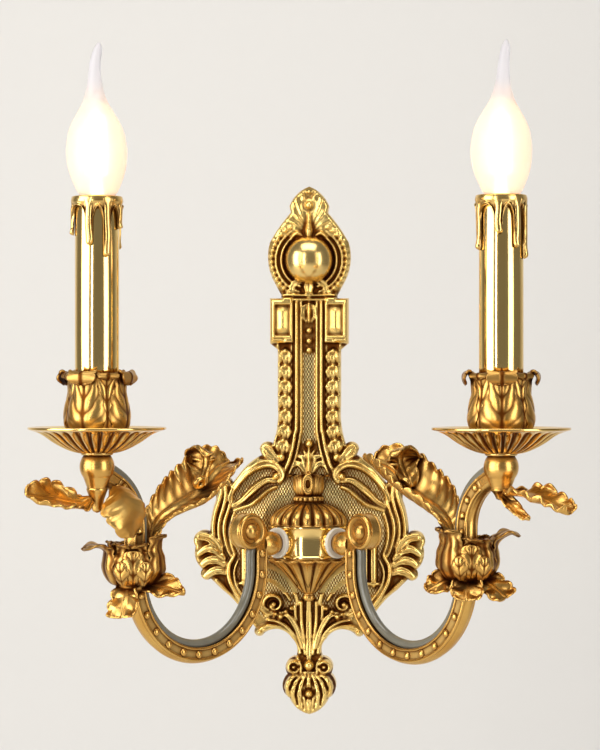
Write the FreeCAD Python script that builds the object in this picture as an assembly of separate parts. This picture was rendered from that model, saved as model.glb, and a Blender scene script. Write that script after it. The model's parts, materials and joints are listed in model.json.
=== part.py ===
"""Double arm wall sconce in cast and polished brass.

Millimetres, +Z up.  The wall is the plane y = 0 and the sconce stands out of it towards -Y, so +X is
to the right of someone who looks at it.  The origin is the middle of the two wall screws, level with
the hub that both arms grow out of.

Both arms are the same casting, turned about the hub's upright axis.  An arm is drawn in a plane of
its own: u runs outward from the hub axis, v runs sideways and z runs up.
"""

import FreeCAD, Part
import math
import os
from FreeCAD import Placement, Rotation, Vector

UP = Vector(0, 0, 1)
OUT = Vector(0, -1, 0)
FIT = 0.25              # clearance of a part that slides or drops over another
RUNNING = 0.08          # clearance of a shaft that turns in its hole
SNUG = 0.3              # clearance of the wiring and of parts that are only held loosely

# ---------------------------------------------------------------- driving dimensions: back plate
plate_edge = 12.0       # depth of the plain side wall, from the wall to the carved face
plate_skin = 2.6        # thickness of the casting
bedding = 0.35          # how far a moulding's middle lies off the carved face
hub_seat = 16.0         # distance from the wall to the flat that the hub is bolted against
field_r = 50.0          # foot of the round field behind the hub, and the flat on its top
field_flat_r = 32.0
body_pocket_r = 44.0    # round hollow behind the body
shaft_half = 19.5       # half width of the shaft
shaft_pocket_half = 14.0
capital_half = 24.3
capital_low = 121.9
capital_high = 149.6
capital_proud = 4.5
panel_x = 15.6
panel_width = 11.5
panel_height = 18.5
panel_depth = 1.6
rail_x = 7.6
rail_width = 2.8
rail_proud = 3.6
husk_x = 14.4           # strings of bellflower husks beside the rails
husk_length = 8.0
husk_r = 3.0
husks = 6
bead_r = 2.2
medallion_z = 173.0
medallion_ball_r = 14.4
medallion_ring_r = 18.6
medallion_ring_wire = 2.4
palmette_foot = 189.0   # where the palmette's ribs spring from
palmette_ribs = ((0.0, 26.5), (19.0, 21.5), (40.0, 14.5), (64.0, 13.5))     # lean in degrees, length
rib_r = 3.0
border_r = 51.0         # middle of the scrolled border of the body
scroll_wire = 5.0
upper_scroll = (27.0, 33.0, 12.5)       # x, z and radius of the scroll over each shoulder
lower_scroll = (24.0, -45.0, 19.0)
curl = (20.5, -38.5, 4.6)
strip_x = 39.4          # upright strips behind the arms' rolled ends
strip_width = 4.2
strip_low = -26.5
spray_foot = -34.0      # spray of leaves under the hub
spray_ribs = ((0.0, 40.0), (28.0, 27.0), (52.0, 30.0))
bud_z = -91.0
bud_r = 12.0
bud_length = 31.0
bud_curl = (9.3, -77.5, 3.4)
window_half = 15.0      # opening behind the hub, for the wires

# ---------------------------------------------------------------- driving dimensions: wall strap
strap_width = 20.0
strap_thick = 2.5
strap_top = 73.0
strap_low = -57.0
wall_screw_pitch = 100.0
keyhole_entry_r = 4.6
keyhole_slot_r = 2.4
keyhole_drop = 8.0
cable_entry_r = 6.0
cable_entry_z = -18.0
clamp_screw_r = 2.0
clamp_screw_length = 10.0
clamp_screw_z = (66.0, -34.0)
earth_screw_z = 22.0
boss_r = 4.5

# ---------------------------------------------------------------- driving dimensions: hub
hub_axis_y = -14.0
hub_r = 24.0
hub_half = 10.0
hub_skin = 2.5
hub_lip = 1.5
arm_angle = 47.0        # between the wall and each arm
pad_r = 8.0
pad_proud = 1.6         # flat pad standing out of the round hub, for the washer to sit on
urn_height = 11.8
urn_top_r = 9.4
gadroons = 22
gadroon_depth = 1.7
collar_height = 4.7
husk_height = 13.0
husk_top_r = 10.3
pendant_height = 19.0
pendant_ball_r = 4.0

# ---------------------------------------------------------------- driving dimensions: arm
washer_r = 9.25
washer_thick = 2.4
nipple_r = 5.0
nipple_bore = 3.3
nipple_grip = 6.5       # how far the nipple screws into the arm's boss
nut_flats = 15.0
nut_thick = 4.5
knuckle_r = 7.4         # round boss between the washer and the bar
knuckle_length = 9.8
bar_width = 9.0
bar_depth = 9.5
rim_width = 1.4
channel_depth = 0.9
panel_inset = 0.5
bowl_r = 49.4
bowl_z = -14.0
riser_rise = 28.0
crook_r = 30.0
crook_sweep = 60.0
neck_reach = 12.2       # from the end of the crook to the candle's axis
volute_r = 10.6
volute_width = 10.5
volute_out = 9.5        # volute's centre, outward from the bar's centre line
volute_z = 8.2
volute_eye_r = 4.7
ball_r = 10.0
ball_rise = 10.0        # ball's centre above the end of the crook
ball_flat = 6.8         # flat top of the ball, above its centre
neck_r = 5.6
neck_drop = 13.0
cable_r = 2.75
cable_bend_r = 6.0

# ---------------------------------------------------------------- driving dimensions: flower and leaves
seat_r = 10.0
seat_thick = 1.6
flower_base = -16.0
flower_height = 25.0
flower_wall = 1.5
petals = 5
calyx_leaves = 5
calyx_reach = 25.0
calyx_fall = 14.0
leaf_wall = 1.5
leaf_lobe = 2.4         # how far each lobe swells past the valleys beside it
leaf_clear = 60.0       # half height of the prism that trims a leaf to its outline

# ---------------------------------------------------------------- driving dimensions: candle
pan_r = 39.35
pan_height = 15.8
pan_wall = 1.8
pan_foot_r = 9.0
flutes = 30
flute_depth = 0.9
cup_height = 34.0
cup_foot_r = 15.2
cup_wall = 1.6
cup_lobes = 8
cup_lip_r = 19.2
sleeve_r = 12.65
sleeve_wall = 0.9
sleeve_height = 133.0
drip_wall = 1.9
drip_band = 9.0         # unbroken band at the top of the drip ring
drip_width = 5.2
drip_lengths = (32.0, 20.0, 27.0, 17.0, 35.0, 22.0, 29.0, 18.0)
ring_mouth_r = 10.8
holder_r = 10.6
holder_height = 82.0
holder_collar = 6.0
cap_r = 6.95            # screw cap of a small-neck bulb, 13.9 mm across
cap_length = 21.0
contact_length = 1.6    # button under the cap
bulb_r = 17.5
bulb_height = 87.5      # from the ring's top to the tip of the flame
bulb_neck_r = 9.8
bulb_wall = 0.8
tail_r = 2.6
filament_r = 0.9
filament_length = 32.0
filaments = 4

# ---------------------------------------------------------------- worked-out places
bar_u = hub_r + pad_proud + washer_thick + knuckle_length + bar_depth / 2
bowl_u = bar_u + bowl_r
riser_u = bowl_u + bowl_r
riser_z = bowl_z + riser_rise
crook_u = riser_u + crook_r
crook_turn = math.radians(crook_sweep)
crook_end_u = crook_u - crook_r * math.cos(crook_turn)
crook_end_z = riser_z + crook_r * math.sin(crook_turn)
candle_u = crook_end_u + neck_reach
ball_z = crook_end_z + ball_rise
pan_z = ball_z + ball_flat
rim_z = pan_z + pan_height
cup_z = pan_z + 2 * pan_wall + 7.0
sleeve_z = cup_z + cup_wall + FIT
ring_top = sleeve_z + sleeve_height + pan_wall
holder_z = cup_z + cup_wall + 40.0
nipple_low = ball_z + 1.0
cap_z = ring_top - 6.5 - cap_length
nut_corner_r = nut_flats / math.sqrt(3)
nut_seat_u = math.sqrt((hub_r - hub_skin) ** 2 - nut_corner_r ** 2) - FIT
cable_offset = bar_depth / 2 - channel_depth + cable_r + SNUG / 3
flower_u = riser_u


# ---------------------------------------------------------------- drawing helpers
def wire(points, place):
    """Closed outline: each item is a corner, or a pair that gives an arc's middle and end."""
    edges = []
    last = points[0]
    for item in list(points[1:]) + [points[0]]:
        if isinstance(item[0], tuple):
            edges.append(Part.Arc(place(*last), place(*item[0]), place(*item[1])).toShape())
            last = item[1]
        elif item != last:
            edges.append(Part.LineSegment(place(*last), place(*item)).toShape())
            last = item
    return Part.Wire(edges)


def on_axis(r, z):
    return Vector(r, 0, z)


def on_wall(x, z):
    return Vector(x, 0, z)


def turned(points, start=0.0, sweep=360.0):
    """Solid of revolution about Z from an (r, z) outline."""
    solid = Part.Face(wire(points, on_axis)).revolve(Vector(0, 0, 0), UP, sweep)
    solid.rotate(Vector(0, 0, 0), UP, start)
    return solid


def fused(shapes):
    first = shapes[0]
    if len(shapes) == 1:
        return first
    return first.fuse(list(shapes[1:])).removeSplitter()


def moved(shape, x=0.0, y=0.0, z=0.0):
    copy = shape.copy()
    copy.translate(Vector(x, y, z))
    return copy


def box(x0, x1, y0, y1, z0, z1):
    return Part.makeBox(x1 - x0, y1 - y0, z1 - z0, Vector(x0, y0, z0))


def rod(radius, start, end):
    return Part.makeCylinder(radius, (end - start).Length, start, end - start)


def around(angle, radius, z):
    return Vector(radius * math.cos(angle), radius * math.sin(angle), z)


def scallop(count, valley, crest, z, turn=0.0, pointed=False):
    """Ring of lobes that meet in valleys; a pointed lobe is two arcs that meet at its tip."""
    edges = []
    step = 2 * math.pi / count
    for i in range(count):
        a = i * step + turn
        if pointed:
            flank = valley + 0.66 * (crest - valley)
            tip = around(a, crest, z)
            start, end = around(a - step / 2, valley, z), around(a + step / 2, valley, z)
            edges.append(Part.Arc(start, around(a - 0.24 * step, flank, z), tip).toShape())
            edges.append(Part.Arc(tip, around(a + 0.24 * step, flank, z), end).toShape())
        else:
            ends = [around(a + share * step, radius, z)
                    for share, radius in ((-0.5, valley), (0.0, crest), (0.5, valley))]
            edges.append(Part.Arc(*ends).toShape())
    return Part.Wire(edges)


def lobed(count, sections, turn=0.0, pointed=False):
    """Solid lofted through scalloped rings, each given as (z, valley, crest)."""
    rings = [scallop(count, valley, crest, z, turn, pointed) for z, valley, crest in sorted(sections)]
    return Part.makeLoft(rings, True, True)


def along_arm(shape, side):
    """Place a shape from the arm's own u, v, z frame beside the hub."""
    turn = -arm_angle if side == "right" else arm_angle - 180
    copy = shape.copy()
    copy.Placement = Placement(Vector(0, hub_axis_y, 0), Rotation(UP, turn)).multiply(copy.Placement)
    return copy


def to_candle(shape):
    """Place a shape made on the Z axis at the candle's axis of the arm frame."""
    return moved(shape, x=candle_u)


# ---------------------------------------------------------------- back plate
def body_outline():
    """Right half of the body's edge, from the shaft down to the point of the bud."""
    return [
        (22.5, 59.5), ((27.9, 60.6), (30.7, 56.6)), (29.3, 52.8), ((35.6, 49.0), (42.1, 42.4)),
        (47.7, 35.2), ((53.6, 39.6), (58.1, 34.5)), (57.6, 25.4), ((60.4, 15.6), (61.4, 4.7)),
        ((68.2, 5.4), (70.4, -3.8)), ((70.2, -12.0), (66.1, -17.9)), ((66.6, -22.8), (60.9, -23.7)),
        (54.3, -30.3), ((47.6, -36.0), (42.1, -42.5)), (33.2, -54.0), ((32.6, -58.6), (28.0, -57.4)),
        ((19.5, -54.8), (10.7, -60.5)), ((7.4, -66.8), (8.1, -71.7)), ((13.0, -74.0), (13.3, -82.4)),
        ((16.4, -91.0), (12.2, -97.2)), ((7.6, -103.6), (0.0, -107.3)),
    ]


def crest_outline():
    """Right half of the edge of the palmette, capital and shaft, from the top down."""
    return [
        (0.0, 218.6), ((7.2, 214.2), (12.2, 206.6)), (11.4, 202.6),
        ((18.8, 193.2), (24.3, 184.2)), ((25.4, 172.0), (21.0, 158.5)), (17.2, 151.5),
        (17.2, capital_high), (capital_half, capital_high), (capital_half, capital_low),
        (shaft_half, capital_low - 4.0), (shaft_half, 84.0), ((shaft_half + 0.4, 70.0), (22.5, 59.5)),
    ]


def mirrored(points):
    """The same outline walked back up the left side."""
    corners = []
    last = points[0]
    for item in points[1:]:
        if isinstance(item[0], tuple):
            corners.append((last, item[0]))
            last = item[1]
        else:
            corners.append((last, None))
            last = item
    back = []
    for start, middle in reversed(corners):
        end = (-start[0], start[1])
        back.append(end if middle is None else ((-middle[0], middle[1]), end))
    return back


def plate_outline():
    right = crest_outline() + body_outline()[1:]
    return right + mirrored(right)[:-1] + [((-7.2, 214.2), (0.0, 218.6))]


def slab(points, front):
    """Plate of an (x, z) outline, from the wall out to the carved face."""
    return Part.Face(wire(points, on_wall)).extrude(OUT * front)


def on_face(shape):
    """Keep what stands out of the carved face, with a root inside the casting."""
    reach = 4 * field_r
    return shape.common(box(-reach, reach, -reach, -plate_edge + 1.0, -reach, reach))


def moulding(radius, wire_r, x, z, start=0.0, sweep=360.0):
    """Round moulding along an arc; angles run from +X towards +Z."""
    ring = Part.makeTorus(radius, wire_r, Vector(0, 0, 0), OUT, 0, 360, sweep)
    flat = math.degrees(math.atan2(ring.Faces[0].valueAt(0, 0).z, ring.Faces[0].valueAt(0, 0).x))
    ring.rotate(Vector(0, 0, 0), OUT, start - flat)
    return on_face(moved(ring, x=x, y=-plate_edge - bedding, z=z))


def ball(radius, x, z, depth=0.0):
    return on_face(Part.makeSphere(radius, Vector(x, -plate_edge - depth, z)))


def rib(x, z, lean, length, r0, r1):
    """Tapered half-round rib that leans away from upright, from r0 at its foot to r1 at its tip."""
    a = math.radians(lean)
    way = Vector(math.sin(a), 0, math.cos(a))
    return on_face(Part.makeCone(r0, r1, length, Vector(x, -plate_edge + bedding, z), way))


def capital_block():
    """Square block over the shaft, with a sunk panel on each side."""
    front = plate_edge + capital_proud
    middle = (capital_low + capital_high) / 2
    block = box(-capital_half, capital_half, -front, -plate_edge + 1.0, capital_low, capital_high)
    for side in (-1, 1):
        for step in (0, 1):
            x, inset = side * panel_x, 2.2 * step
            w, h = panel_width / 2 - inset, panel_height / 2 - inset
            top, floor = front - panel_depth * step, front - panel_depth * (step + 1)
            block = block.cut(box(x - w, x + w, -top - 1, -floor, middle - h, middle + h))
    gap = rail_x - rail_width / 2
    return block.cut(box(-gap, gap, -front - 1, -plate_edge - 1.0, capital_low - 1, capital_high + 1))


def shaft_ornament():
    """Rails up the shaft, the beads between them and the strings of husks beside them."""
    pieces = []
    foot = field_r - 6.0
    for side in (-1, 1):
        x = side * rail_x
        pieces.append(box(x - rail_width / 2, x + rail_width / 2, -plate_edge - rail_proud, -plate_edge + 1.0,
                          foot, capital_low + 1.0))
        for i in range(husks):
            z = capital_low - 4.0 - i * husk_length * 1.15
            pieces.append(rib(side * husk_x, z, 180.0, husk_length, 1.2, husk_r))
    for i in range(3):
        pieces.append(ball(bead_r, 0, capital_low + i * 2.4 * bead_r, depth=0.6))
    return pieces


def palmette():
    """Ball in a ring, under a fan of ribs."""
    pieces = [ball(medallion_ball_r, 0, medallion_z, depth=-1.0)]
    pieces.append(moulding(medallion_ring_r, medallion_ring_wire, 0, medallion_z))
    for lean, length in palmette_ribs:
        for side in ((1,) if lean == 0 else (-1, 1)):
            pieces.append(rib(0, palmette_foot, side * lean, length, 1.4, rib_r))
    return pieces


def body_border():
    """Scrolled border of the body, alike on both sides."""
    pieces = []
    for side in (-1, 1):
        def arc(radius, wire_r, x, z, start, sweep):
            begin = start if side > 0 else 180.0 - start - sweep
            pieces.append(moulding(radius, wire_r, side * x, z, begin, sweep))
        arc(border_r, scroll_wire, 0, 0, -40.0, 82.0)
        x, z, r = upper_scroll
        arc(r, scroll_wire * 0.9, x, z, 15.0, 185.0)
        arc(field_r * 0.47, scroll_wire * 0.6, field_r / 2, -16.0, -58.0, 70.0)
        x, z, r = lower_scroll
        arc(r, scroll_wire * 0.55, x, z, 95.0, 75.0)
        x, z, r = curl
        arc(r, scroll_wire * 0.45, x, z, 0.0, 359.0)
        pieces.append(ball(scroll_wire * 1.2, side * (upper_scroll[0] - upper_scroll[2]), upper_scroll[1]))
        pieces.append(on_face(box(side * strip_x - strip_width / 2, side * strip_x + strip_width / 2,
                                  -hub_seat - 0.8, -plate_edge, strip_low, 5.0)))
    return pieces


def drop_and_bud():
    """Spray of leaves under the hub, down to the bud with its two curls."""
    pieces = []
    for lean, length in spray_ribs:
        for side in ((1,) if lean == 0 else (-1, 1)):
            pieces.append(rib(0, spray_foot, 180.0 + side * lean, length, 3.4, 2.0))
    half = bud_length / 2
    bud = turned([(0, -half), ((bud_r * 0.8, -half * 0.55), (bud_r, 0.0)),
                  ((bud_r * 0.86, half * 0.5), (bud_r * 0.45, half)), (0, half)])
    pieces.append(on_face(moved(bud, y=-plate_edge + 2.0, z=bud_z)))
    for side in (-1, 1):
        x, z, r = bud_curl
        pieces.append(moulding(r, r * 0.55, side * x, z))
    pieces.append(ball(pendant_ball_r, 0, bud_curl[1], depth=1.0))
    return pieces


def back_plate():
    """Cast plate with a hollow back; the hub is bolted against the flat on its field."""
    field = Part.makeCone(field_r, field_flat_r, hub_seat - plate_edge, Vector(0, -plate_edge, 0), OUT)
    plate = slab(plate_outline(), plate_edge)
    for group in ([field], [capital_block()], shaft_ornament(), palmette(), body_border(), drop_and_bud()):
        plate = plate.fuse(group)
    floor = plate_edge - plate_skin
    pockets = [
        rod(body_pocket_r, Vector(0, 1, 0), Vector(0, -floor, 0)),
        box(-shaft_pocket_half, shaft_pocket_half, -floor, 1, 0, capital_high - 6.0),
        box(-strap_width / 2 - 2 * FIT, strap_width / 2 + 2 * FIT, -floor, 1, strap_low - 2 * FIT, 0),
        rod(medallion_ring_r, Vector(0, 1, medallion_z), Vector(0, -floor, medallion_z)),
        box(-hub_r - 2, hub_r + 2, -60, -hub_seat, -31, 62),
        box(-window_half, window_half, -hub_seat - 1, 0, -hub_half + 1, hub_half - 1),
    ]
    plate = plate.cut(pockets)
    bosses = [rod(boss_r, Vector(0, -floor - 1, z), Vector(0, -strap_thick, z)) for z in clamp_screw_z]
    plate = plate.fuse(bosses)
    holes = []
    for z in clamp_screw_z:
        holes.append(rod(clamp_screw_r, Vector(0, 1, z), Vector(0, -clamp_screw_length - 0.5, z)))
    return plate.cut(holes).removeSplitter()


# ---------------------------------------------------------------- wall strap and what is fixed to it
def keyhole(z):
    back, front = Vector(0, 1, z), Vector(0, -strap_thick - 1, z)
    slot_top = Vector(0, 0, keyhole_drop)
    slot = box(-keyhole_slot_r, keyhole_slot_r, -strap_thick - 1, 1, z, z + keyhole_drop)
    ends = rod(keyhole_slot_r, back + slot_top, front + slot_top)
    return [rod(keyhole_entry_r, back, front), slot, ends]


def wall_strap():
    half = strap_width / 2
    strap = box(-half, half, -strap_thick, 0, strap_low, strap_top)
    corners = [edge for edge in strap.Edges if abs(edge.Vertexes[0].Point.y - edge.Vertexes[1].Point.y) > 1]
    strap = strap.makeFillet(half * 0.6, corners)
    holes = keyhole(wall_screw_pitch / 2) + keyhole(-wall_screw_pitch / 2)
    holes.append(rod(cable_entry_r, Vector(0, 1, cable_entry_z), Vector(0, -9, cable_entry_z)))
    holes.append(rod(clamp_screw_r, Vector(0, 1, earth_screw_z), Vector(0, -9, earth_screw_z)))
    for z in clamp_screw_z:
        holes.append(rod(clamp_screw_r + FIT, Vector(0, 1, z), Vector(0, -9, z)))
        holes.append(Part.makeCone(2 * clamp_screw_r + FIT, clamp_screw_r + FIT, clamp_screw_r,
                                   Vector(0, 0, z), OUT))
    return strap.cut(holes)


def clamp_screws():
    """Two countersunk screws that hold the strap to the plate's bosses."""
    screws = []
    for z in clamp_screw_z:
        head = Part.makeCone(2 * clamp_screw_r, clamp_screw_r, clamp_screw_r, Vector(0, 0, z), OUT)
        shank = rod(clamp_screw_r - RUNNING, Vector(0, 0, z), Vector(0, -clamp_screw_length, z))
        screws.append(head.fuse(shank).removeSplitter())
    return Part.makeCompound(screws)


def earth_screw():
    shank = rod(clamp_screw_r - RUNNING, Vector(0, 0, earth_screw_z), Vector(0, -6.0, earth_screw_z))
    head = rod(2 * clamp_screw_r, Vector(0, -strap_thick - 1.0, earth_screw_z),
               Vector(0, -strap_thick - 3.4, earth_screw_z))
    washer = rod(2 * clamp_screw_r + 0.8, Vector(0, -strap_thick, earth_screw_z),
                 Vector(0, -strap_thick - 1.0, earth_screw_z))
    return fused([shank, head, washer])


def terminal_block():
    """Two-pole connector block standing on the strap behind the hub."""
    half = 8.0
    block = box(-half, half, -hub_seat + 1.5, -strap_thick, -half + 2, half)
    for side in (-1, 1):
        x = side * half / 2
        block = block.cut(rod(1.8, Vector(x, -hub_seat, 1.0), Vector(x, -8.0, 1.0)))
        block = block.cut(rod(1.6, Vector(x, -9.0, 20), Vector(x, -9.0, 3.0)))
    return block


# ---------------------------------------------------------------- hub
def clip_to_seat(shape):
    """Cut away what would stand inside the back plate."""
    reach = 4 * hub_r
    return shape.common(box(-reach, reach, -reach, -hub_seat, -reach, reach))


def hub_drum():
    """Polished round hub: a band with a lip at each edge and a flat pad for each arm."""
    outer, inner, lip = hub_r, hub_r - hub_skin, hub_r + 0.9
    top, edge = hub_half + hub_lip, hub_half
    band = turned([(inner, -top), (lip, -top), (lip, -edge), (outer, -edge), (outer, edge), (lip, edge),
                   (lip, top), (inner, top)])
    drum = moved(band, y=hub_axis_y)
    holes = []
    for side in ("left", "right"):
        pad = rod(pad_r, Vector(nut_seat_u, 0, 0), Vector(outer + pad_proud, 0, 0))
        hole = rod(nipple_r + RUNNING, Vector(nut_seat_u - 1, 0, 0), Vector(outer + pad_proud + 1, 0, 0))
        drum = drum.fuse(along_arm(pad, side))
        holes.append(along_arm(hole, side))
    return clip_to_seat(drum.removeSplitter().cut(holes))


def urn():
    """Gadrooned half dome on the hub, with its beaded collar and the tulip husk that grows from it."""
    base = hub_half + hub_lip
    wide, top = hub_r + 0.4, urn_top_r
    rings = []
    for share in (0.0, 0.28, 0.55, 0.8, 1.0):
        bulge = math.sqrt(1 - share ** 2)
        crest = top + (wide - top) * bulge
        rings.append((base + urn_height * share, crest - gadroon_depth * (0.25 + 0.75 * bulge), crest))
    shell = lobed(gadroons, rings)
    collar_z = base + urn_height
    husk_z = collar_z + collar_height
    collar = turned([(0, collar_z), (top - 1.0, collar_z), ((top + 0.6, collar_z + collar_height / 2),
                    (top - 1.6, husk_z)), (0, husk_z)])
    husk_top = husk_z + husk_height
    husk = turned([(0, husk_z), (husk_top_r - 2.6, husk_z), ((husk_top_r - 2.2, husk_z + husk_height / 2),
                  (husk_top_r, husk_top)), (0, husk_top - 1.5)])
    return clip_to_seat(moved(fused([shell, collar, husk]), y=hub_axis_y))


def pendant():
    """Acanthus drop under the hub, running down to a small ball."""
    base = -hub_half - hub_lip
    rings = []
    for share in (0.0, 0.25, 0.55, 0.8, 1.0):
        crest = 4.2 + (hub_r - 4.2) * (1 - share) ** 1.25
        rings.append((base - pendant_height * share, crest * 0.9, crest))
    ball_z0 = base - pendant_height - pendant_ball_r + 1.0
    ball = Part.makeSphere(pendant_ball_r, Vector(0, 0, ball_z0))
    return clip_to_seat(moved(fused([lobed(14, rings), ball]), y=hub_axis_y - 0.5))


# ---------------------------------------------------------------- arm
def bar_section():
    """Cross-section of the bar as (v, t), where t points to the side that carries the cable."""
    half, top = bar_width / 2, bar_depth / 2
    groove = half - rim_width
    foot = -bar_depth * 0.22
    panel_top, panel_low = top - 1.5, foot + 0.9
    deep = half - panel_inset
    right = [(half, top), (half, panel_top), (deep, panel_top - 0.3), (deep, panel_low + 0.3),
             (half, panel_low), (half, foot)]
    left = [(-v, t) for v, t in reversed(right)]
    floor = top - channel_depth
    return right + [((0.0, -top), left[0])] + left[1:] + [(-groove, top), (-groove, floor), (groove, floor),
                                                          (groove, top)]


def straight_run(section, start, end, lean):
    """Bar between two (u, z) points; lean is the (u, z) direction that t stands for."""
    def place(v, t):
        return Vector(start[0] + lean[0] * t, v, start[1] + lean[1] * t)
    face = Part.Face(wire(section, place))
    return face.extrude(Vector(end[0] - start[0], 0, end[1] - start[1]))


def bent_run(section, centre, radius, begin, sweep, towards):
    """Bar along an arc about an axis across the arm; towards is +1 where t points at the centre."""
    a = math.radians(begin)

    def place(v, t):
        r = radius - towards * t
        return Vector(centre[0] + r * math.cos(a), v, centre[1] + r * math.sin(a))
    face = Part.Face(wire(section, place))
    return face.revolve(Vector(centre[0], 0, centre[1]), Vector(0, -1, 0), sweep)


def neck_direction():
    return (math.sin(crook_turn), math.cos(crook_turn))


def path_runs(section, top, shift=0.0):
    """The bar's own route, or the route of something that lies beside it by shift."""
    out, up = neck_direction()
    end = neck_reach / out
    runs = [straight_run(section, (bar_u + shift, top), (bar_u + shift, bowl_z), (1, 0))]
    runs.append(bent_run(section, (bowl_u, bowl_z), bowl_r - shift, 180.0, 180.0, 1))
    runs.append(straight_run(section, (riser_u - shift, bowl_z), (riser_u - shift, riser_z), (-1, 0)))
    runs.append(bent_run(section, (crook_u, riser_z), crook_r + shift, 180.0, -crook_sweep, -1))
    start = (crook_end_u - up * shift, crook_end_z + out * shift)
    runs.append(straight_run(section, start, (start[0] + out * end, start[1] + up * end), (-up, out)))
    return runs


def knuckle():
    """Round boss that bears on the nylon washer and carries the bar."""
    start = hub_r + pad_proud + washer_thick
    end = start + knuckle_length + bar_depth * 0.3
    mid = start + knuckle_length / 2
    face = Part.Face(wire([(start, 0), (start, knuckle_r - 1.2), ((mid, knuckle_r), (end, knuckle_r - 1.6)),
                           (end, 0)], lambda u, z: Vector(u, 0, z)))
    return face.revolve(Vector(0, 0, 0), Vector(1, 0, 0), 360)


def volute():
    """Rolled end of the bar: a broad drum with a sunk side and a domed eye on each face."""
    half = volute_width / 2
    ring = [(0, -half + 1.0), (volute_eye_r + 0.6, -half + 1.0), (volute_r - 2.2, -half + 1.0),
            (volute_r - 1.2, -half), (volute_r, -half + 0.5), (volute_r, half - 0.5), (volute_r - 1.2, half),
            (volute_r - 2.2, half - 1.0), (0, half - 1.0)]
    drum = turned(ring)
    for side in (-1, 1):
        eye = Part.makeSphere(volute_eye_r, Vector(0, 0, side * (half - 2.4)))
        drum = drum.fuse(eye)
    drum = drum.removeSplitter()
    drum.rotate(Vector(0, 0, 0), Vector(1, 0, 0), 90)
    return moved(drum, x=bar_u + volute_out, z=volute_z)


def volute_root():
    """Top of the bar, tapering into the back of the rolled end."""
    half = bar_depth / 2
    centre_u = bar_u + volute_out
    touch = math.radians(140.0)
    corner = (centre_u + (volute_r - 0.6) * math.cos(touch), volute_z + (volute_r - 0.6) * math.sin(touch))
    middle = (bar_u - half + 0.9, volute_z - 2.0)
    outline = [(bar_u - half, -4.0), ((middle[0], middle[1]), corner), (centre_u, volute_z),
               (bar_u + half, -4.0)]
    face = Part.Face(wire(outline, lambda u, z: Vector(u, -bar_width / 2, z)))
    return face.extrude(Vector(0, bar_width, 0))


def neck_and_ball():
    """Polished ball under the drip pan, with the tapered neck that the bar runs into."""
    shoulder = ball_r * math.cos(math.radians(38))
    drop = ball_r * math.sin(math.radians(38))
    flat = math.sqrt(ball_r ** 2 - ball_flat ** 2)
    outline = [(0, ball_z - neck_drop), (neck_r, ball_z - neck_drop), (neck_r + 0.5, ball_z - neck_drop + 2.0),
               (shoulder, ball_z - drop), ((ball_r, ball_z), (flat, ball_z + ball_flat)),
               (0, ball_z + ball_flat)]
    return to_candle(turned(outline))


def cable_route(radius):
    """Round cable, or its passage: in through the boss, round the bar, up into the ball."""
    circle = [(radius, 0), ((0, radius), (-radius, 0)), ((0, -radius), (radius, 0))]
    out, up = neck_direction()
    shift = cable_offset
    top = -cable_bend_r
    runs = path_runs(circle, top, shift)[:-1]
    turn_u = bar_u + shift - cable_bend_r
    runs.append(bent_run(circle, (turn_u, top), cable_bend_r, 0.0, 90.0, 1))
    runs.append(rod(radius, Vector(nut_seat_u - nut_thick - 3.5, 0, 0), Vector(turn_u, 0, 0)))
    last = (crook_end_u - up * shift, crook_end_z + out * shift)
    reach = (candle_u - last[0]) / out
    meet = (candle_u, last[1] + reach * up)
    bend = cable_bend_r * math.tan((math.pi / 2 - math.atan2(up, out)) / 2)
    start = (meet[0] - out * bend, meet[1] - up * bend)
    runs.append(rod(radius, Vector(last[0], 0, last[1]), Vector(start[0], 0, start[1])))
    centre = (candle_u - cable_bend_r, meet[1] + bend)
    runs.append(bent_run(circle, centre, cable_bend_r, 0.0, -(90.0 - math.degrees(math.atan2(up, out))), 1))
    runs.append(rod(radius, Vector(candle_u, 0, meet[1] + bend), Vector(candle_u, 0, holder_z - 3.0)))
    return fused(runs)


def arm_casting():
    out, up = neck_direction()
    pieces = path_runs(bar_section(), -3.0)
    seat = Part.makeCylinder(seat_r, seat_thick, Vector(flower_u, 0, flower_base - seat_thick), UP)
    pieces += [knuckle(), volute(), volute_root(), neck_and_ball(), seat]
    arm = pieces[0]
    for piece in pieces[1:]:
        arm = arm.fuse(piece)
    arm = arm.removeSplitter()
    start = hub_r + pad_proud + washer_thick
    tap = rod(nipple_r, Vector(start - 1, 0, 0), Vector(start + nipple_grip, 0, 0))
    socket = Part.makeCylinder(nipple_r, ball_flat + ball_r, Vector(candle_u, 0, nipple_low), UP)
    return arm.cut([tap, socket, cable_route(cable_r + SNUG)])


def arm_nipple():
    """Hollow threaded stud that joins the arm to the hub."""
    start = nut_seat_u - nut_thick - 1.5
    end = hub_r + pad_proud + washer_thick + nipple_grip
    return rod(nipple_r, Vector(start, 0, 0), Vector(end, 0, 0)).cut(
        rod(nipple_bore, Vector(start - 1, 0, 0), Vector(end + 1, 0, 0)))


def lock_nut():
    """Hexagon nut on the nipple, inside the hub."""
    start = nut_seat_u - nut_thick
    points = []
    for i in range(6):
        a = math.radians(60 * i)
        points.append((nut_corner_r * math.cos(a), nut_corner_r * math.sin(a)))
    nut = Part.Face(wire(points, lambda v, z: Vector(start, v, z))).extrude(Vector(nut_thick, 0, 0))
    return nut.cut(rod(nipple_r, Vector(start - 1, 0, 0), Vector(start + nut_thick + 1, 0, 0)))


def nylon_washer():
    """Washer with chamfered rims, between the hub's pad and the arm."""
    bore, soft = nipple_r + RUNNING, 0.4
    ring = turned([(bore, 0), (washer_r - soft, 0), (washer_r, soft), (washer_r, washer_thick - soft),
                   (washer_r - soft, washer_thick), (bore, washer_thick)])
    ring.rotate(Vector(0, 0, 0), Vector(0, 1, 0), 90)
    return moved(ring, x=hub_r + pad_proud)


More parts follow.
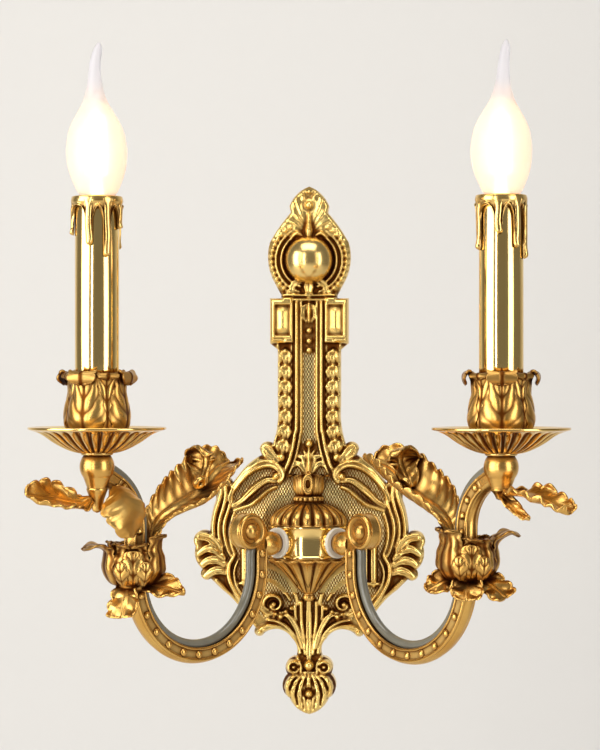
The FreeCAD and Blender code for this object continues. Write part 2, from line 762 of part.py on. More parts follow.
# ---------------------------------------------------------------- flower and leaves
def flower_cup():
    """Tulip-shaped cup of lobed petals round the rising bar."""
    h, z = flower_height, flower_base
    outer = [(z, 10.6, 11.6), (z + 0.22 * h, 15.2, 16.6), (z + 0.52 * h, 16.9, 18.2),
             (z + 0.8 * h, 15.6, 17.6), (z + 0.92 * h, 15.8, 19.6), (z + h, 16.4, 23.2)]
    inner = [(z + flower_wall, 9.0, 10.0), (z + 0.22 * h, 13.7, 15.1), (z + 0.52 * h, 15.4, 16.7),
             (z + 0.8 * h, 14.1, 16.1), (z + 0.94 * h, 14.3, 18.2), (z + h + 0.5, 15.0, 21.8)]
    cup = lobed(petals, outer).cut(lobed(petals, inner))
    cup = moved(cup, x=flower_u)
    return cup.cut(bar_passage(flower_u))


def bar_passage(u):
    """Upright hole that clears the bar and the cable lying against it."""
    half = bar_width / 2 + SNUG
    back = bar_depth / 2 + SNUG
    front = cable_offset + cable_r + 2 * SNUG
    return box(u - front, u + back, -half, half, -60, 60)


def calyx_collar():
    """Skirt of pointed leaves under the flower cup."""
    z, drop = flower_base - seat_thick, calyx_fall
    reach = calyx_reach
    outer = [(z, 11.0, 12.0), (z - 0.3 * drop, 12.6, 16.0), (z - 0.65 * drop, 13.2, 21.0),
             (z - drop, 13.4, reach)]
    shell = lobed(calyx_leaves, outer, turn=math.pi / calyx_leaves, pointed=True)
    under = [(a - leaf_wall, b - 1.2, c - 1.4) for a, b, c in outer]
    shell = shell.cut(lobed(calyx_leaves, under, turn=math.pi / calyx_leaves, pointed=True))
    return moved(shell, x=flower_u).cut(bar_passage(flower_u))


def leaf_section(middle, across, rise_way, half, rise, thick):
    """Crescent cut across a leaf: the arc through its edges and midrib, given a thickness."""
    open_angle = 2 * math.atan2(rise, half)
    radius = (half ** 2 + rise ** 2) / (2 * rise)
    centre = middle + rise_way * radius

    def at(r, angle):
        return centre + across * (r * math.sin(angle)) - rise_way * (r * math.cos(angle))
    inner = radius - thick
    edges = [Part.Arc(at(radius, -open_angle), at(radius, 0), at(radius, open_angle)).toShape()]
    edges.append(Part.LineSegment(at(radius, open_angle), at(inner, open_angle)).toShape())
    edges.append(Part.Arc(at(inner, open_angle), at(inner, 0), at(inner, -open_angle)).toShape())
    edges.append(Part.LineSegment(at(inner, -open_angle), at(radius, -open_angle)).toShape())
    return Part.Wire(edges)


def leaf_blank(valleys, origin, along, across):
    """Lobed outline of a leaf as a tall prism; a valley is (distance along, half width)."""
    normal = along.cross(across)

    def place(reach, width):
        return origin + along * reach + across * width - normal * leaf_clear
    flank = [valleys[0]]
    for (s0, w0), (s1, w1) in zip(valleys, valleys[1:]):
        bulge = ((0.4 * s0 + 0.6 * s1), (w0 + w1) / 2 + leaf_lobe)
        flank.append((bulge, (s1, w1)))
    s_end, w_end = valleys[-1]
    flank.append(((s_end + leaf_lobe, 0.0), (s_end, -w_end)))
    for (s0, w0), (s1, w1) in reversed(list(zip(valleys, valleys[1:]))):
        bulge = ((0.4 * s0 + 0.6 * s1), -(w0 + w1) / 2 - leaf_lobe)
        flank.append((bulge, (s0, -w0)))
    return Part.Face(wire(flank, place)).extrude(normal * 2 * leaf_clear)


def leaf(stations, valleys, across):
    """Curled leaf: crescents lofted along the midrib, cut to a lobed outline.

    A station is (midrib point, half width, rise of the edges).
    """
    wires = []
    points = [Vector(*point) for point, _, _ in stations]
    for i, (_, half, rise) in enumerate(stations):
        ahead = points[min(i + 1, len(points) - 1)] - points[max(i - 1, 0)]
        ahead.normalize()
        side = across - ahead * across.dot(ahead)
        side.normalize()
        wires.append(leaf_section(points[i], side, ahead.cross(side), half, rise, leaf_wall))
    along = points[-1] - points[0]
    along.normalize()
    flat = across - along * across.dot(along)
    flat.normalize()
    trough = Part.makeLoft(wires, True, False)
    return trough.common(leaf_blank(valleys, points[0], along, flat))


def tall_leaf():
    """Acanthus leaf that rises out of the cup and arches in over the hub."""
    u, z = flower_u, flower_base + flower_height
    stations = [((u - 13.6, 0, z - 6), 6.5, 1.8), ((u - 14.5, 0.5, z + 3), 11.5, 5.0),
                ((u - 22.0, 1.5, z + 11), 18.0, 10.5), ((u - 34.0, 2.5, z + 19), 22.0, 15.5),
                ((u - 50.0, 3.5, z + 28), 21.5, 16.0), ((u - 66.0, 4.0, z + 39), 16.5, 11.5),
                ((u - 81.0, 4.0, z + 45), 9.0, 5.0)]
    valleys = [(0.0, 4.0), (13.0, 9.0), (27.0, 14.5), (41.0, 17.5), (55.0, 17.0), (68.0, 13.0), (80.0, 6.0)]
    return leaf(stations, valleys, Vector(0, -1, 0))


def outer_leaf():
    """Leaf that springs from the neck and arches outward under the drip pan."""
    u, z = candle_u, ball_z - neck_drop
    stations = [((u + neck_r + 0.7, 0, z + 1.0), 4.5, 1.6), ((u + 14.0, 0, z - 4.5), 10.0, 3.6),
                ((u + 26.0, 0, z - 6.0), 15.0, 6.5), ((u + 40.0, 0, z - 5.0), 15.0, 6.5),
                ((u + 50.0, 0, z - 7.5), 11.0, 4.6), ((u + 57.0, 0, z - 12.0), 6.0, 2.4)]
    valleys = [(0.0, 2.6), (10.0, 7.0), (20.0, 11.0), (31.0, 11.5), (41.0, 8.5), (49.0, 3.5)]
    return leaf(stations, valleys, Vector(0, 1, 0))


def side_leaf():
    """Smooth cupped leaf that hangs beside the crook, on one side of the bar."""
    u, z = candle_u - 8.0, ball_z - neck_drop
    half = bar_width / 2
    stations = [((u + 1.0, half + 0.45, z + 1.0), 4.5, 1.8), ((u - 1.0, half + 6.0, z - 1.0), 9.5, 2.8),
                ((u - 2.0, half + 13.0, z - 6.0), 13.0, 3.6), ((u - 2.0, half + 19.0, z - 13.0), 12.0, 3.2),
                ((u - 2.0, half + 22.0, z - 20.0), 7.0, 2.2)]
    valleys = [(0.0, 3.0), (8.0, 7.5), (16.0, 9.5), (23.0, 8.0), (28.5, 4.0)]
    return leaf(stations, valleys, Vector(0.93, 0, -0.37))


# ---------------------------------------------------------------- candle
def drip_pan():
    """Shallow dish with radial flutes on its underside."""
    z, top, r = pan_z, rim_z, pan_r
    foot = pan_foot_r
    under = [(0.0, foot, 0.1), (0.16, 0.35 * r, 0.5), (0.40, 0.53 * r, 1.0), (0.68, 0.70 * r, 1.0),
             (0.80, 0.90 * r, 0.6), (0.88, r, 0.2), (1.0, r, 0.2)]
    rings = []
    for share, crest, cut in under:
        rings.append((z + (top - z) * share, crest - flute_depth * cut, crest))
    dish = lobed(flutes, rings)
    foot_in = cup_foot_r + FIT
    hollow = turned([(0, cup_z), (foot_in, cup_z), (0.62 * r, cup_z + 0.5), ((0.86 * r, top - 2.2), (r - 1.4, top)),
                     (r - 1.4, top + 1), (0, top + 1)])
    dish = dish.cut(hollow)
    hole = Part.makeCylinder(nipple_r + FIT, pan_height + 2, Vector(0, 0, z - 1), UP)
    return to_candle(dish.cut(hole))


def candle_cup():
    """Acanthus cup that the candle stands in, with curled lips."""
    z, h, r = cup_z, cup_height, cup_foot_r
    shape = [(z, r - 0.9, r), (z + 0.20 * h, r + 0.8, r + 2.0), (z + 0.32 * h, r + 0.8, r + 2.2),
             (z + 0.60 * h, r - 0.4, r + 0.8), (z + 0.76 * h, r - 0.9, r + 0.3), (z + 0.89 * h, r - 0.2, cup_lip_r),
             (z + 0.95 * h, r - 0.2, cup_lip_r - 0.8), (z + h, r - 0.9, r + 1.4)]
    cup = lobed(cup_lobes, shape)
    bore = Part.makeCylinder(sleeve_r + FIT, cup_height, Vector(0, 0, z + cup_wall), UP)
    hole = Part.makeCylinder(nipple_r + FIT, cup_height, Vector(0, 0, z - 1), UP)
    return to_candle(cup.cut([bore, hole]))


def candle_nipple():
    """Threaded tube from the ball up to the lamp holder, with a side notch for the cable."""
    tube = Part.makeCylinder(nipple_r, holder_z + holder_collar - nipple_low, Vector(candle_u, 0, nipple_low), UP)
    bore = Part.makeCylinder(nipple_bore, 200, Vector(candle_u, 0, nipple_low - 1), UP)
    return tube.cut([bore, cable_route(cable_r + SNUG)])


def lock_ring():
    """Round nut that clamps the cup and pan down onto the ball."""
    nut = Part.makeCylinder(holder_r - 1.0, 4.0, Vector(0, 0, cup_z + cup_wall), UP)
    return to_candle(nut.cut(Part.makeCylinder(nipple_r, 9, Vector(0, 0, cup_z + cup_wall - 1), UP)))


def lamp_holder():
    """Phenolic holder for a small-neck screw cap."""
    z, r, top = holder_z, holder_r, cap_z + cap_length - 1.0
    body = turned([(0, z), (r - 3.4, z), (r - 3.4, z + 14), (r - 1.6, z + 20), (r, z + 24), (r, top - 1),
                   (r - 1, top), (0, top)])
    bore = Part.makeCylinder(cap_r + FIT, cap_length + 6, Vector(0, 0, cap_z - contact_length - FIT), UP)
    thread = Part.makeCylinder(nipple_r, holder_collar, Vector(0, 0, z), UP)
    lead = Part.makeCylinder(cable_r, 8, Vector(0, 0, z), UP)
    return to_candle(body.cut([bore, thread, lead]))


def candle_sleeve():
    """Polished tube over the lamp holder."""
    outer = Part.makeCylinder(sleeve_r, sleeve_height, Vector(0, 0, sleeve_z), UP)
    return to_candle(outer.cut(Part.makeCylinder(sleeve_r - sleeve_wall, 400, Vector(0, 0, sleeve_z - 1), UP)))


def drip_ring():
    """Ring of wax drips of uneven length, hung on the top of the sleeve."""
    inner, outer = sleeve_r, sleeve_r + drip_wall
    top = ring_top
    shell_low = top - max(drip_lengths)
    shell = Part.makeCylinder(outer, top - shell_low, Vector(0, 0, shell_low), UP)
    shell = shell.cut(Part.makeCylinder(inner, top - shell_low - pan_wall, Vector(0, 0, shell_low), UP))
    keep = [Part.makeCylinder(outer + 1, drip_band + 1, Vector(0, 0, top - drip_band), UP)]
    half = drip_width / 2
    for i, length in enumerate(drip_lengths):
        low = top - length + half
        outline = [(-half, top - drip_band + 0.5), (-half, low), ((0, low - half), (half, low)),
                   (half, top - drip_band + 0.5)]
        face = Part.Face(wire(outline, lambda y, z: Vector(inner - 2, y, z)))
        drop = face.extrude(Vector(drip_wall + 4, 0, 0))
        drop.rotate(Vector(0, 0, 0), UP, 360.0 * i / len(drip_lengths))
        keep.append(drop)
    ring = shell.common(fused(keep))
    ring = ring.cut(Part.makeCylinder(ring_mouth_r, 60, Vector(0, 0, top - 30), UP))
    return to_candle(ring)


# ---------------------------------------------------------------- bulb
def flame_outline(shrink):
    """Half outline of the flame-shaped glass, up to the root of its tail."""
    h, r = bulb_height, bulb_r - shrink
    z = ring_top + 0.4
    neck = bulb_neck_r - shrink
    return [(0, z), (neck, z), ((0.857 * r, z + 0.115 * h), (r, z + 0.272 * h)),
            ((0.905 * r, z + 0.385 * h), (0.637 * r, z + 0.507 * h)),
            ((0.395 * r, z + 0.615 * h), (0.235 * bulb_r - 0.5 * shrink, z + 0.745 * h)),
            (tail_r + 0.15, z + 0.90 * h), (0, z + 0.90 * h)]


def bulb_glass():
    """Frosted flame bulb with the tip of its tail bent to one side."""
    flame = turned(flame_outline(0.0))
    z = ring_top + 0.4 + 0.90 * bulb_height
    bend_r, sweep = 16.0, 24.0
    tail = Part.Face(Part.Wire(Part.makeCircle(tail_r, Vector(0, 0, z), UP)))
    tail = tail.revolve(Vector(bend_r, 0, z), Vector(0, 1, 0), sweep)
    a = math.radians(sweep)
    tip = Part.makeSphere(tail_r, Vector(bend_r * (1 - math.cos(a)), 0, z + bend_r * math.sin(a)))
    flame = fused([flame, tail, tip])
    inside = turned(flame_outline(bulb_wall)[:-2] + [(0, ring_top + 0.4 + 0.745 * bulb_height)])
    return to_candle(flame.cut(inside))


def bulb_cap():
    """Screw cap and the collar that holds the glass."""
    z, top = cap_z, cap_z + cap_length
    seat = ring_top + 0.4
    body = turned([(0, z), (cap_r - 2.4, z), (cap_r - 0.5, z + 3.0), (cap_r, z + 3.5), (cap_r, top),
                   (bulb_neck_r - 0.6, seat - 2.2), (bulb_neck_r - 0.2, seat), (0, seat)])
    contact = Part.makeCylinder(2.4, contact_length, Vector(0, 0, z - contact_length), UP)
    return to_candle(fused([body, contact]))


def bulb_filaments():
    """Glass stem and the upright glowing rods inside the bulb."""
    low = ring_top + 0.4
    stem = turned([(0, low), (5.0, low), (3.0, low + 3.0), (1.7, low + 9.0), (1.7, low + 13.0), (0, low + 13.0)])
    mast = Part.makeCylinder(0.5, filament_length + 4, Vector(0, 0, low + 12.0), UP)
    pieces = [stem, mast]
    foot, head = low + 11.0, low + 12.0 + filament_length
    for i in range(filaments):
        a = 2 * math.pi * (i + 0.5) / filaments
        start = Vector(4.6 * math.cos(a), 4.6 * math.sin(a), foot + 1.5)
        end = Vector(3.4 * math.cos(a), 3.4 * math.sin(a), head)
        pieces.append(rod(filament_r, start, end))
        pieces.append(rod(0.4, Vector(0, 0, foot + 1.0), start + (end - start) * 0.03))
        pieces.append(rod(0.4, Vector(0, 0, head + 2.0), end - (end - start) * 0.03))
    return to_candle(fused(pieces))


# ---------------------------------------------------------------- everything
def candle_and_arm():
    """Every piece of one arm, in the arm's own frame."""
    return {
        "nylon_washer": nylon_washer(),
        "arm_nipple": arm_nipple(),
        "lock_nut": lock_nut(),
        "arm": arm_casting(),
        "arm_cable": cable_route(cable_r),
        "flower_cup": flower_cup(),
        "calyx_collar": calyx_collar(),
        "tall_leaf": tall_leaf(),
        "outer_leaf": outer_leaf(),
        "side_leaf": side_leaf(),
        "drip_pan": drip_pan(),
        "candle_cup": candle_cup(),
        "candle_nipple": candle_nipple(),
        "lock_ring": lock_ring(),
        "lamp_holder": lamp_holder(),
        "candle_sleeve": candle_sleeve(),
        "drip_ring": drip_ring(),
        "bulb_glass": bulb_glass(),
        "bulb_cap": bulb_cap(),
        "bulb_filaments": bulb_filaments(),
    }


def main():
    os.makedirs("parts", exist_ok=True)
    pieces = {
        "back_plate": back_plate(),
        "wall_strap": wall_strap(),
        "clamp_screws": clamp_screws(),
        "earth_screw": earth_screw(),
        "terminal_block": terminal_block(),
        "hub_drum": hub_drum(),
        "urn": urn(),
        "pendant": pendant(),
    }
    for name, shape in candle_and_arm().items():
        for side in ("left", "right"):
            pieces[f"{name}_{side}"] = along_arm(shape, side)
    for name, shape in pieces.items():
        solids = len(shape.Solids)
        print(f"{name:22s} solids {solids} volume {shape.Volume:9.1f} valid {shape.isValid()}")
        shape.exportStep(f"parts/{name}.step")


main()
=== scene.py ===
# %% [markdown]
# # A cast brass wall sconce
# Two curved arms grow from a small polished drum in front of a carved plate.  Each carries a flower, three
# leaves, a drip pan, a leafy cup and a candle with a flame-shaped bulb.  The engineering model gives every
# size and every moving part; this lesson dresses it as the foundry and the polisher would.

# %% Tools
import json
import math
import bmesh
import bpy
import numpy as np
from mathutils import Matrix, Vector


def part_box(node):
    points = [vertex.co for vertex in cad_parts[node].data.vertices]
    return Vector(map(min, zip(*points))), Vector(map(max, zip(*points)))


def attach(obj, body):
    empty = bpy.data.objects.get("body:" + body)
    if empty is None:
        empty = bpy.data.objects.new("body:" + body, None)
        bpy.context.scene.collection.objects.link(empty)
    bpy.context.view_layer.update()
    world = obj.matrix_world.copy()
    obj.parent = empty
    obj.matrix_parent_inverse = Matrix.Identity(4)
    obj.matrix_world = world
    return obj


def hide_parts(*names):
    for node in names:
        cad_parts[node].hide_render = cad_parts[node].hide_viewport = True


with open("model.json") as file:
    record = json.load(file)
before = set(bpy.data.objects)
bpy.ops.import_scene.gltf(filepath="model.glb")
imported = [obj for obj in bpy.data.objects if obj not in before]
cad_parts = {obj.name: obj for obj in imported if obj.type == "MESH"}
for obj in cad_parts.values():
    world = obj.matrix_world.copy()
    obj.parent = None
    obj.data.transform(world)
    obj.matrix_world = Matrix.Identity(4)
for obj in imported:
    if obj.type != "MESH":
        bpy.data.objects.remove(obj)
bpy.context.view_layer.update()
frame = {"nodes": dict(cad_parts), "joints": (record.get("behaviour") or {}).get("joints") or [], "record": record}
NODES = frame["nodes"]
SIDES = ("left", "right")

# %% [markdown]
# Sizes on the drawing are millimetres and Blender works in metres, so one factor turns one into the other.
# An arm is drawn in its own upright plane: u runs out from the hub's axis, v runs across and z is up.  The
# model's tilt joints lie along u, so their axes tell where each arm's plane stands.

# %% Places taken from the frame
MM = 0.001


def mid(node):
    low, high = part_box(node)
    return (low + high) / 2


TILT = {j["name"]: j for j in frame["joints"]}
HUB = Vector((0.0, -14.0 * MM, 0.0))
ARM = {}
CANDLE = {}
for side in SIDES:
    out = Vector(TILT[f"arm_{side}_tilt"]["axis"])
    turn = Matrix.Rotation(math.atan2(out.y, out.x), 4, "Z")
    ARM[side] = Matrix.Translation(HUB) @ turn @ Matrix.Scale(MM, 4)
    CANDLE[side] = mid(f"candle_sleeve_{side}")
CANDLE_U = ((CANDLE["right"] - HUB).xy.length) / MM
print("candle axis at u =", round(CANDLE_U, 2))

# %% [markdown]
# ## Materials
# A shader is arithmetic on patterns, so it reads best as arithmetic.  `Wire` stands for a socket that
# carries a number and lets Python's own operators add the Math nodes.

# %% Shader arithmetic
class Wire:
    """A number in a node tree."""

    def __init__(self, finish, socket):
        self.finish, self.socket = finish, socket

    def sum(self, operation, first, second):
        return self.finish.node("ShaderNodeMath", {"operation": operation}, {0: first, 1: second})

    def __add__(self, other):
        return self.sum("ADD", self, other)

    def __radd__(self, other):
        return self.sum("ADD", other, self)

    def __sub__(self, other):
        return self.sum("SUBTRACT", self, other)

    def __rsub__(self, other):
        return self.sum("SUBTRACT", other, self)

    def __mul__(self, other):
        return self.sum("MULTIPLY", self, other)

    def __rmul__(self, other):
        return self.sum("MULTIPLY", other, self)


class Finish:
    """A material under construction, on one Principled shader."""

    def __init__(self, name, **fixed):
        self.material = bpy.data.materials.new(name)
        self.material.use_nodes = True
        self.tree = self.material.node_tree
        self.tree.nodes.clear()
        self.shader = self.tree.nodes.new("ShaderNodeBsdfPrincipled")
        output = self.tree.nodes.new("ShaderNodeOutputMaterial")
        self.tree.links.new(self.shader.outputs[0], output.inputs["Surface"])
        for socket, value in fixed.items():
            self.set(socket.replace("_", " "), value)

    def feed(self, socket, value):
        if isinstance(value, Wire):
            self.tree.links.new(value.socket, socket)
        else:
            socket.default_value = value

    def set(self, socket, value):
        self.feed(self.shader.inputs[socket], value)

    def node(self, kind, settings=None, sockets=None, out=0):
        made = self.tree.nodes.new(kind)
        for key, value in (settings or {}).items():
            setattr(made, key, value)
        for key, value in (sockets or {}).items():
            self.feed(made.inputs[key], value)
        return Wire(self, made.outputs[out])

    def place(self):
        return self.node("ShaderNodeTexCoord", out="Object")

    def along(self, axis):
        return self.node("ShaderNodeSeparateXYZ", None, {"Vector": self.place()}, out=axis)

    def cosine(self, value):
        return self.node("ShaderNodeMath", {"operation": "COSINE"}, {0: value})

    def ease(self, value, low, high):
        """0 below low, 1 above high, and a soft step between."""
        return self.node("ShaderNodeMapRange", {"interpolation_type": "SMOOTHSTEP"},
                         {"Value": value, "From Min": low, "From Max": high})

    def noise(self, scale, detail=3.0):
        return self.node("ShaderNodeTexNoise", None,
                         {"Vector": self.place(), "Scale": scale, "Detail": detail, "Roughness": 0.55})

    def blend(self, factor, first, second):
        return self.node("ShaderNodeMix", {"data_type": "RGBA"}, {"Factor": factor, 6: first, 7: second},
                         out=2)

    def bump(self, height, strength, distance):
        self.set("Normal", self.node("ShaderNodeBump", None,
                                     {"Height": height, "Strength": strength, "Distance": distance}))

    def attribute(self, name):
        return self.node("ShaderNodeAttribute", {"attribute_name": name}, out="Fac")

    def hollow(self, reach):
        """Ambient occlusion for painted shade: 0 deep in a recess, 1 in the open."""
        return self.node("ShaderNodeAmbientOcclusion", {"samples": 8}, {"Distance": reach}, out="AO")


def rgb(r, g, b):
    """A colour as a paint chart gives it, in 0..255, turned to the linear scale the renderer uses."""
    line = [(c / 255 / 12.92) if c / 255 <= 0.04045 else ((c / 255 + 0.055) / 1.055) ** 2.4
            for c in (r, g, b)]
    return (*line, 1.0)


# %% [markdown]
# Lacquered brass is a mirror with a yellow cast.  The castings are gilded, and their colour carries painted
# shade: it darkens to a deep brown wherever a spot lies deep in a recess, vein or groove.  The turned pieces
# come off the polishing wheel bright and only show a faint drift of tone.

# %% Brass finishes
GOLD = rgb(252, 222, 146)
DEEP_GOLD = rgb(226, 172, 84)
# the deep brown that the painted shade in recesses darkens towards
PAINTED_SHADE = rgb(98, 52, 14)


def cast_brass(name, reach=0.006, low=0.24, high=0.5, grain=900.0, stipple=False, rough=0.35,
               tones=(DEEP_GOLD, GOLD)):
    finish = Finish(name, Metallic=1.0)
    # Painted shade: an ambient occlusion node and the recess value carried on each mesh darken the colour towards
    # a deep brown in recesses, and make them rougher there.
    shut = finish.hollow(reach) * (1.0 - finish.attribute("shut") * 0.7)
    worn = finish.noise(60.0)
    tone = finish.blend(worn, *tones)
    if stipple:
        # radians per metre across and up; the two waves cross into rows of punched dots
        dots = (0.5
                + 0.5 * finish.cosine(finish.along("X") * 3590.0) * finish.cosine(finish.along("Z") * 1960.0))
        dots = finish.ease(dots, 0.3, 0.8)
        # In the stipple the colour is painted light: a pale painted highlight on each dot and dark painted shade
        # between the dots.
        tone = finish.blend(finish.attribute("stipple"), tone,
                            finish.blend(dots, rgb(132, 86, 30), rgb(255, 238, 168)))
    unshaded = finish.ease(shut + (worn - 0.5) * 0.2, 0.36, 0.97)
    finish.set("Base Color", finish.blend(unshaded, PAINTED_SHADE, tone))
    finish.set("Roughness", high - unshaded * (high - low))
    fine = finish.noise(grain, 2.0)
    height = fine * 0.3
    if stipple:
        height = height * (1.0 - finish.attribute("stipple")) + finish.attribute("stipple") * dots * 1.6
    finish.bump(height, rough, 0.0004)
    return finish.material


def polished_brass(name, rough=0.09):
    finish = Finish(name, Metallic=1.0)
    drift = finish.noise(35.0)
    finish.set("Base Color", finish.blend(drift * 0.5, GOLD, DEEP_GOLD))
    finish.set("Roughness", rough + drift * 0.05)
    return finish.material


OLD_GOLD = (rgb(204, 144, 60), rgb(240, 200, 118))
CAST = cast_brass("gilt casting", low=0.27, tones=OLD_GOLD)
PLATE = cast_brass("gilt plate", reach=0.007, low=0.26, stipple=True, rough=0.22,
                   tones=(rgb(246, 194, 96), rgb(255, 230, 150)))
BALL = polished_brass("burnished ball", rough=0.2)
POLISHED = polished_brass("polished brass")
SATIN_CAST = cast_brass("satin casting", reach=0.004, low=0.30, high=0.46, grain=500.0, tones=OLD_GOLD)

# %% Plain finishes
def plain(name, colour, rough, metallic=0.0, mottle=0.08):
    finish = Finish(name, Metallic=metallic)
    drift = finish.noise(80.0)
    darker = tuple(c * (1 - mottle) for c in colour[:3]) + (1.0,)
    finish.set("Base Color", finish.blend(drift, colour, darker))
    finish.set("Roughness", rough + drift * 0.08)
    finish.bump(finish.noise(960.0, 2.0), 0.08, 0.0003)
    return finish.material


NYLON = plain("white nylon", rgb(232, 226, 210), 0.42)
ZINC = plain("zinc plate", rgb(176, 178, 176), 0.32, 1.0, 0.15)
PORCELAIN = plain("connector body", rgb(222, 220, 212), 0.5)
PHENOLIC = plain("phenolic", rgb(40, 36, 33), 0.45)
CAP = plain("bulb cap", rgb(214, 180, 110), 0.25, 1.0)


def clear_flex():
    finish = Finish("clear flex", IOR=1.5)
    drift = finish.noise(120.0)
    finish.set("Base Color", finish.blend(drift, rgb(128, 124, 108), rgb(104, 100, 86)))
    finish.set("Roughness", 0.16 + drift * 0.1)
    finish.set("Coat Weight", 0.6)
    return finish.material


def frosted_glass():
    """Lit from within: warm where the rods stand, cool and pale in the solid tail."""
    finish = Finish("frosted glass", IOR=1.45, Roughness=0.4, Transmission_Weight=0.72,
                    Emission_Strength=0.16)
    height = finish.ease(finish.along("Z"), 0.250, 0.272)
    frost = finish.noise(260.0)
    warm = finish.blend(frost, rgb(252, 238, 222), rgb(248, 230, 212))
    finish.set("Base Color", finish.blend(height, warm, rgb(235, 232, 234)))
    finish.set("Emission Color", finish.blend(height, rgb(255, 234, 222), rgb(130, 128, 136)))
    return finish.material


def glowing(name, colour, strength):
    finish = Finish(name, Roughness=0.4)
    finish.set("Base Color", colour)
    finish.set("Emission Color", colour)
    finish.set("Emission Strength", strength)
    return finish.material


FLEX = clear_flex()
GLASS = frosted_glass()
GLOW = glowing("filament glow", rgb(255, 236, 200), 5.0)

# %% Give every carried-over piece its finish
WEAR = {
    "wall_strap": ZINC, "clamp_screws": ZINC, "earth_screw": ZINC, "terminal_block": PORCELAIN,
    "hub_drum": POLISHED, "nylon_washer": NYLON, "arm_nipple": ZINC, "lock_nut": ZINC, "arm_cable": FLEX,
    "drip_pan": POLISHED, "candle_nipple": ZINC, "lock_ring": POLISHED, "lamp_holder": PHENOLIC,
    "candle_sleeve": POLISHED, "bulb_glass": GLASS, "bulb_cap": CAP, "bulb_filaments": GLOW,
    "back_plate": PLATE,
}


def wear(obj, material):
    obj.data.materials.clear()
    obj.data.materials.append(material)


for name, obj in NODES.items():
    stem = name.replace("_left", "").replace("_right", "")
    wear(obj, WEAR.get(stem, CAST))
print(len(NODES), "nodes dressed")

# %% [markdown]
# ## The carved plate
# The real plate is one casting: a plain edge about ten millimetres deep and, in front of it, a face covered
# with scrolls, leaves, beads and husks.  Cutting every scroll as its own mesh would leave hundreds of seams.
# A founder's pattern-maker carves the face as one surface, and so does this lesson: a fine grid stands in
# for the clay, and each stroke of the modelling tool raises a band of it.  The side walls and the hollow
# back come from the engineering model, cut off just behind the face.

# %% Side walls of the plate
FACE = 9.8        # mm from the wall to the cut between side walls and carved face
# The clamp screws' heads, how far from a screw an edge still belongs to its blind hole, and the heights of
# the two holes, which the face covers.
HEAD_R, BLIND_R = 4.0, 3.5
SCREWS = (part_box("clamp_screws")[0][2] / MM + HEAD_R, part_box("clamp_screws")[1][2] / MM - HEAD_R)


def plate_walls():
    """Everything of the plate behind the cut, and the outline where it was cut."""
    bm = bmesh.new()
    bm.from_mesh(NODES["back_plate"].data)
    bmesh.ops.remove_doubles(bm, verts=bm.verts, dist=1e-6)
    cut = bmesh.ops.bisect_plane(bm, geom=bm.verts[:] + bm.edges[:] + bm.faces[:], dist=1e-8,
                                 plane_co=(0, -FACE * MM, 0), plane_no=(0, -1, 0), clear_outer=True)
    edges = [e for e in cut["geom_cut"] if isinstance(e, bmesh.types.BMEdge)]
    outline = np.array([[(v.co.x / MM, v.co.z / MM) for v in e.verts] for e in edges])
    blind = [np.hypot(outline[:, 0, 0], outline[:, 0, 1] - z) < BLIND_R for z in SCREWS]
    return bm, outline[~(blind[0] | blind[1])]


WALLS, OUTLINE = plate_walls()
print("outline pieces:", len(OUTLINE))

# %% Measuring from the outline
def to_segments(px, pz, starts, ends):
    """For each point: distance to the nearest segment, which one, how far along it, and on which side."""
    run = ends - starts
    long = (run ** 2).sum(1) + 1e-12
    best = np.full(px.shape, 1e9)
    which, share, side = np.zeros(px.shape, int), np.zeros(px.shape), np.ones(px.shape)
    for i in range(len(starts)):
        dx, dz = px - starts[i, 0], pz - starts[i, 1]
        t = np.clip((dx * run[i, 0] + dz * run[i, 1]) / long[i], 0, 1)
        gap = np.hypot(dx - t * run[i, 0], dz - t * run[i, 1])
        near = gap < best
        best[near], which[near], share[near] = gap[near], i, t[near]
        side[near] = np.sign(run[i, 0] * dz - run[i, 1] * dx)[near]
    return best, which, share, side


def inside(px, pz, segments):
    """Counts how many segments a ray to the right would cross."""
    odd = np.zeros(px.shape, bool)
    for (x0, z0), (x1, z1) in segments:
        if z0 != z1:
            spans = (z0 > pz) != (z1 > pz)
            odd ^= spans & (px < x0 + (pz - z0) * (x1 - x0) / (z1 - z0))
    return odd


def smooth_line(points, steps=6):
    """A curve through the points, as a row of close points."""
    p = np.array([points[0]] + list(points) + [points[-1]], float)
    rows = []
    for i in range(1, len(p) - 2):
        t = np.linspace(0, 1, steps, endpoint=False)[:, None]
        a, b, c, d = p[i - 1], p[i], p[i + 1], p[i + 2]
        rows.append(0.5 * (2 * b + (c - a) * t + (2 * a - 5 * b + 4 * c - d) * t ** 2
                           + (3 * b - a - 3 * c + d) * t ** 3))
    return np.vstack(rows + [p[-1:]])


# %% [markdown]
# A stroke has a path, a width and a height that may change along it, and a section: what the tool's edge
# looks like across the band.  Just outside each band a fine groove is pressed, which is what makes one leaf
# seem to lie on another.

# %% Carving strokes
def dome(q, along):
    return np.sqrt(np.clip(1 - q ** 2, 0, 1))


def flat(q, along):
    return np.clip((1 - np.abs(q)) / 0.18, 0, 1) ** 0.5


def trough(q, along):
    return dome(q, along) ** 0.5 * (0.45 + 0.55 * np.abs(q) ** 1.6)


def fluted(count):
    def section(q, along):
        return dome(q, along) ** 0.6 * (0.74 + 0.26 * np.cos(math.pi * count * (q + 1) + math.pi))
    return section


def leafy(count):
    """Veins that run forward from a midrib to a wavy edge."""
    def section(q, along):
        vein = np.abs(np.sin(math.pi * (count * along - 1.2 * np.abs(q))))
        return (dome(q, along) ** 0.5 * (0.62 + 0.38 * vein ** 0.6)
                * (0.75 + 0.25 * np.clip(np.abs(q) / 0.2, 0, 1)))
    return section


